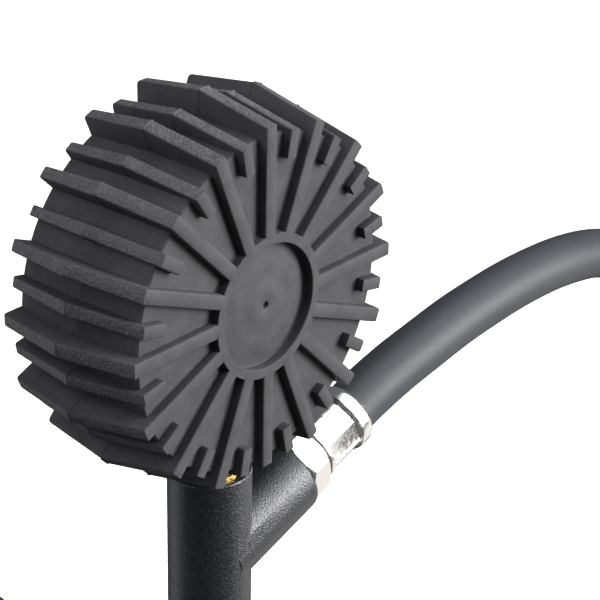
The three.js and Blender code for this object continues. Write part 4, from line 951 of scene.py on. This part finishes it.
# %% The thumb lever
fork_outline = rounded([(-11.2, -9), (-11.2, -30), (-9, -30), (-1.5, -12), (4.5, -4.5), (5.5, 0),
                        (4.5, 4.5), (0, 6), (-4.5, 4.5)],
                       1.2, corners=[3, 4, 5, 6, 7, 8])
upright = Matrix(((1, 0, 0, 0), (0, 0, -1, 0), (0, 1, 0, 0), (0, 0, 0, 1)))
fork_sides = []
for low in (8.2, -10.0):
    fork = slab(fork_outline, low, low + 1.8, edge=0.3)
    moved(fork, upright)
    fork_sides.append(fork)
thumb = slab([(-11.2, -34), (-8.98, -34), (-8.98, -9), (-11.2, -9)], -10.0, 10.0, edge=0.5)
tip = slab([(-13.2, -34), (-9.2, -34), (-9.6, -31.2), (-13.0, -31.6)], -9.9, 9.9, edge=0.5)
for shape in (thumb, tip):
    moved(shape, upright)
lever_pin_way = turned([(0, -20), (2.1, -20), (2.1, 20), (0, 20)], 32)
moved(lever_pin_way, axis_place(0, 0, 0, (0, 1, 0)))
thumb_lever = combined(thumb, ("UNION", fork_sides), ("UNION", [tip]), ("DIFFERENCE", [lever_pin_way]))
thumb_lever = piece("thumb_lever_steel", thumb_lever, POWDER, "chuck_lever",
                    chuck_place @ Matrix.Translation((0, 0, LEVER_PIN * MM)), sharp=30)

# %% [markdown]
# The return spring is a coil that shortens as the treadle goes down. A helix with a round bevel gives it,
# and squashing it towards its lower end follows the piston.

# %% The return spring
spring_low, spring_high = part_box("return_spring")
COILS, COIL_RADIUS, WIRE = 5, 14.0, 1.3
coil = bpy.data.curves.new("return_coil", "CURVE")
coil.dimensions = "3D"
coil.bevel_depth = WIRE * MM
coil.bevel_resolution = 4
coil.use_fill_caps = True
turns = coil.splines.new("POLY")
count = COILS * 32
turns.points.add(count)
for i, point in enumerate(turns.points):
    angle = 2 * math.pi * COILS * i / count
    z = spring_low.z + WIRE * MM + (spring_high.z - spring_low.z - 2 * WIRE * MM) * i / count
    point.co = (COIL_RADIUS * MM * math.cos(angle), BARREL_Y * MM + COIL_RADIUS * MM * math.sin(angle), z, 1)
coil.materials.append(STEEL)
coil_curve = bpy.data.objects.new("return_coil_path", coil)
bpy.context.scene.collection.objects.link(coil_curve)
bpy.context.view_layer.update()
coil_shape = bmesh.new()
coil_shape.from_mesh(mesh_of(coil_curve))
bpy.data.objects.remove(coil_curve)
coil_piece = piece("return_coil", coil_shape, STEEL, "return_spring")
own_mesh(coil_piece)

# %% [markdown]
# The remaining CAD pieces have the right shape already. They keep it and get their real finish,
# with a narrow bevel so that no edge is a perfect knife edge.

# %% Finish the carried-over pieces
kept = {
    "piston_plate": ALLOY, "piston_cup": LEATHER, "piston_nut": STEEL, "rod_fork": STEEL, "roller_pin": STEEL,
    "bush_left": BRONZE, "bush_right": BRONZE, "check_ball": STEEL, "check_spring": STEEL,
    "spring_retainer": BRASS, "gauge_case": STEEL, "bourdon_tube": BRONZE, "tip_link": BRASS,
    "movement_frame": BRASS, "sector_gear": BRASS, "pinion_shaft": BRASS, "chuck_pusher": BRASS,
    "chuck_seal": SEAL, "chuck_pin": STEEL,
}
for name, material in kept.items():
    node = frame["nodes"][name]
    node.data.materials.clear()
    node.data.materials.append(material)
    for face in node.data.polygons:
        face.use_smooth = True
    weld = node.modifiers.new("weld", "WELD")
    weld.merge_threshold = 1e-6
    bevel = node.modifiers.new("edge", "BEVEL")
    bevel.width = 0.2 * MM
    bevel.segments = 2
    bevel.limit_method = "ANGLE"
    bevel.angle_limit = math.radians(35)
    bevel.harden_normals = True
print("carried over:", len(kept))

# %% [markdown]
# Black rubber only reads as black if most of what surrounds it is dark.
# So the room is dim. The strongest soft box stands to the right of the gauge's back and does the modelling.
# One above draws the sheen along the hose and the ribs, and three weak ones lift the other sides.
# A white shell that only the camera can see gives the plain background. The floor glows, a little less
# near the pump than far off. It is kept out of reflections, bounces and shadows, or its white would fill
# the pockets and grey the black paint.

# %% Floor and background
def plain_white(name, brightness):
    material = finish(name, (0.9, 0.9, 0.9), 0.8, grain=0.01, relief=0.00001, patch=0.6, drift=0.005)
    shader = material.node_tree.nodes["Principled BSDF"]
    shader.inputs["Emission Color"].default_value = (1, 1, 1, 1)
    shader.inputs["Emission Strength"].default_value = brightness
    return material


floor_shape = bmesh.new()
bmesh.ops.create_grid(floor_shape, x_segments=1, y_segments=1, size=5)
floor = thing(floor_shape, "floor")
floor_white = plain_white("floor_white", 1.0)
floor.data.materials.append(floor_white)
floor_nodes = floor_white.node_tree
place = floor_nodes.nodes.new("ShaderNodeTexCoord")
reach = floor_nodes.nodes.new("ShaderNodeVectorMath")
reach.operation = "LENGTH"
glow = floor_nodes.nodes.new("ShaderNodeMapRange")
glow.interpolation_type = "SMOOTHSTEP"
for socket, value in (("From Min", 0.3), ("From Max", 2.0), ("To Min", 0.5), ("To Max", 1.0)):
    glow.inputs[socket].default_value = value
floor_nodes.links.new(place.outputs["Object"], reach.inputs[0])
floor_nodes.links.new(reach.outputs["Value"], glow.inputs["Value"])
floor_nodes.links.new(glow.outputs["Result"],
                      floor_nodes.nodes["Principled BSDF"].inputs["Emission Strength"])
floor.visible_diffuse = False
floor.visible_glossy = False
floor.visible_shadow = False

shell_shape = bmesh.new()
bmesh.ops.create_uvsphere(shell_shape, u_segments=48, v_segments=24, radius=6)
shell = thing(shell_shape, "background")
shell.data.shade_smooth()
shell.data.materials.append(plain_white("background_white", 1.0))
for sight in ("visible_diffuse", "visible_glossy", "visible_transmission", "visible_shadow"):
    setattr(shell, sight, False)

# %% The lights
world = bpy.data.worlds.new("studio")
world.use_nodes = True
world.node_tree.nodes["Background"].inputs["Color"].default_value = (0.93, 0.96, 1, 1)
world.node_tree.nodes["Background"].inputs["Strength"].default_value = 0.13
bpy.context.scene.world = world
bpy.context.scene.view_settings.view_transform = "Standard"


def soft_box(name, away, size, brightness, colour=(1, 1, 1)):
    """A square lamp at a distance from the back of the gauge, turned to face it."""
    light = bpy.data.lights.new(name, "AREA")
    light.size = size
    light.energy = brightness * math.pi * size ** 2
    light.color = colour
    item = bpy.data.objects.new(name, light)
    item.visible_camera = False
    item.location = gauge_back + Vector(away)
    item.rotation_euler = (-Vector(away)).to_track_quat("-Z", "Y").to_euler()
    bpy.context.scene.collection.objects.link(item)


soft_box("key", (-0.85, 1.15, 0.30), 0.9, 23)
soft_box("overhead", (-0.35, 0.5, 1.15), 1.3, 4.0, (0.92, 0.96, 1))
soft_box("far_side", (1.0, -0.5, 0.9), 1.2, 3.6, (0.95, 0.97, 1))
soft_box("user_side", (0.4, -1.1, -0.5), 1.0, 1.0, (0.93, 0.96, 1))
soft_box("under", (-0.9, 0.35, -0.75), 1.0, 0.85, (1, 0.96, 0.92))
print("lamps:", len(bpy.data.lights))
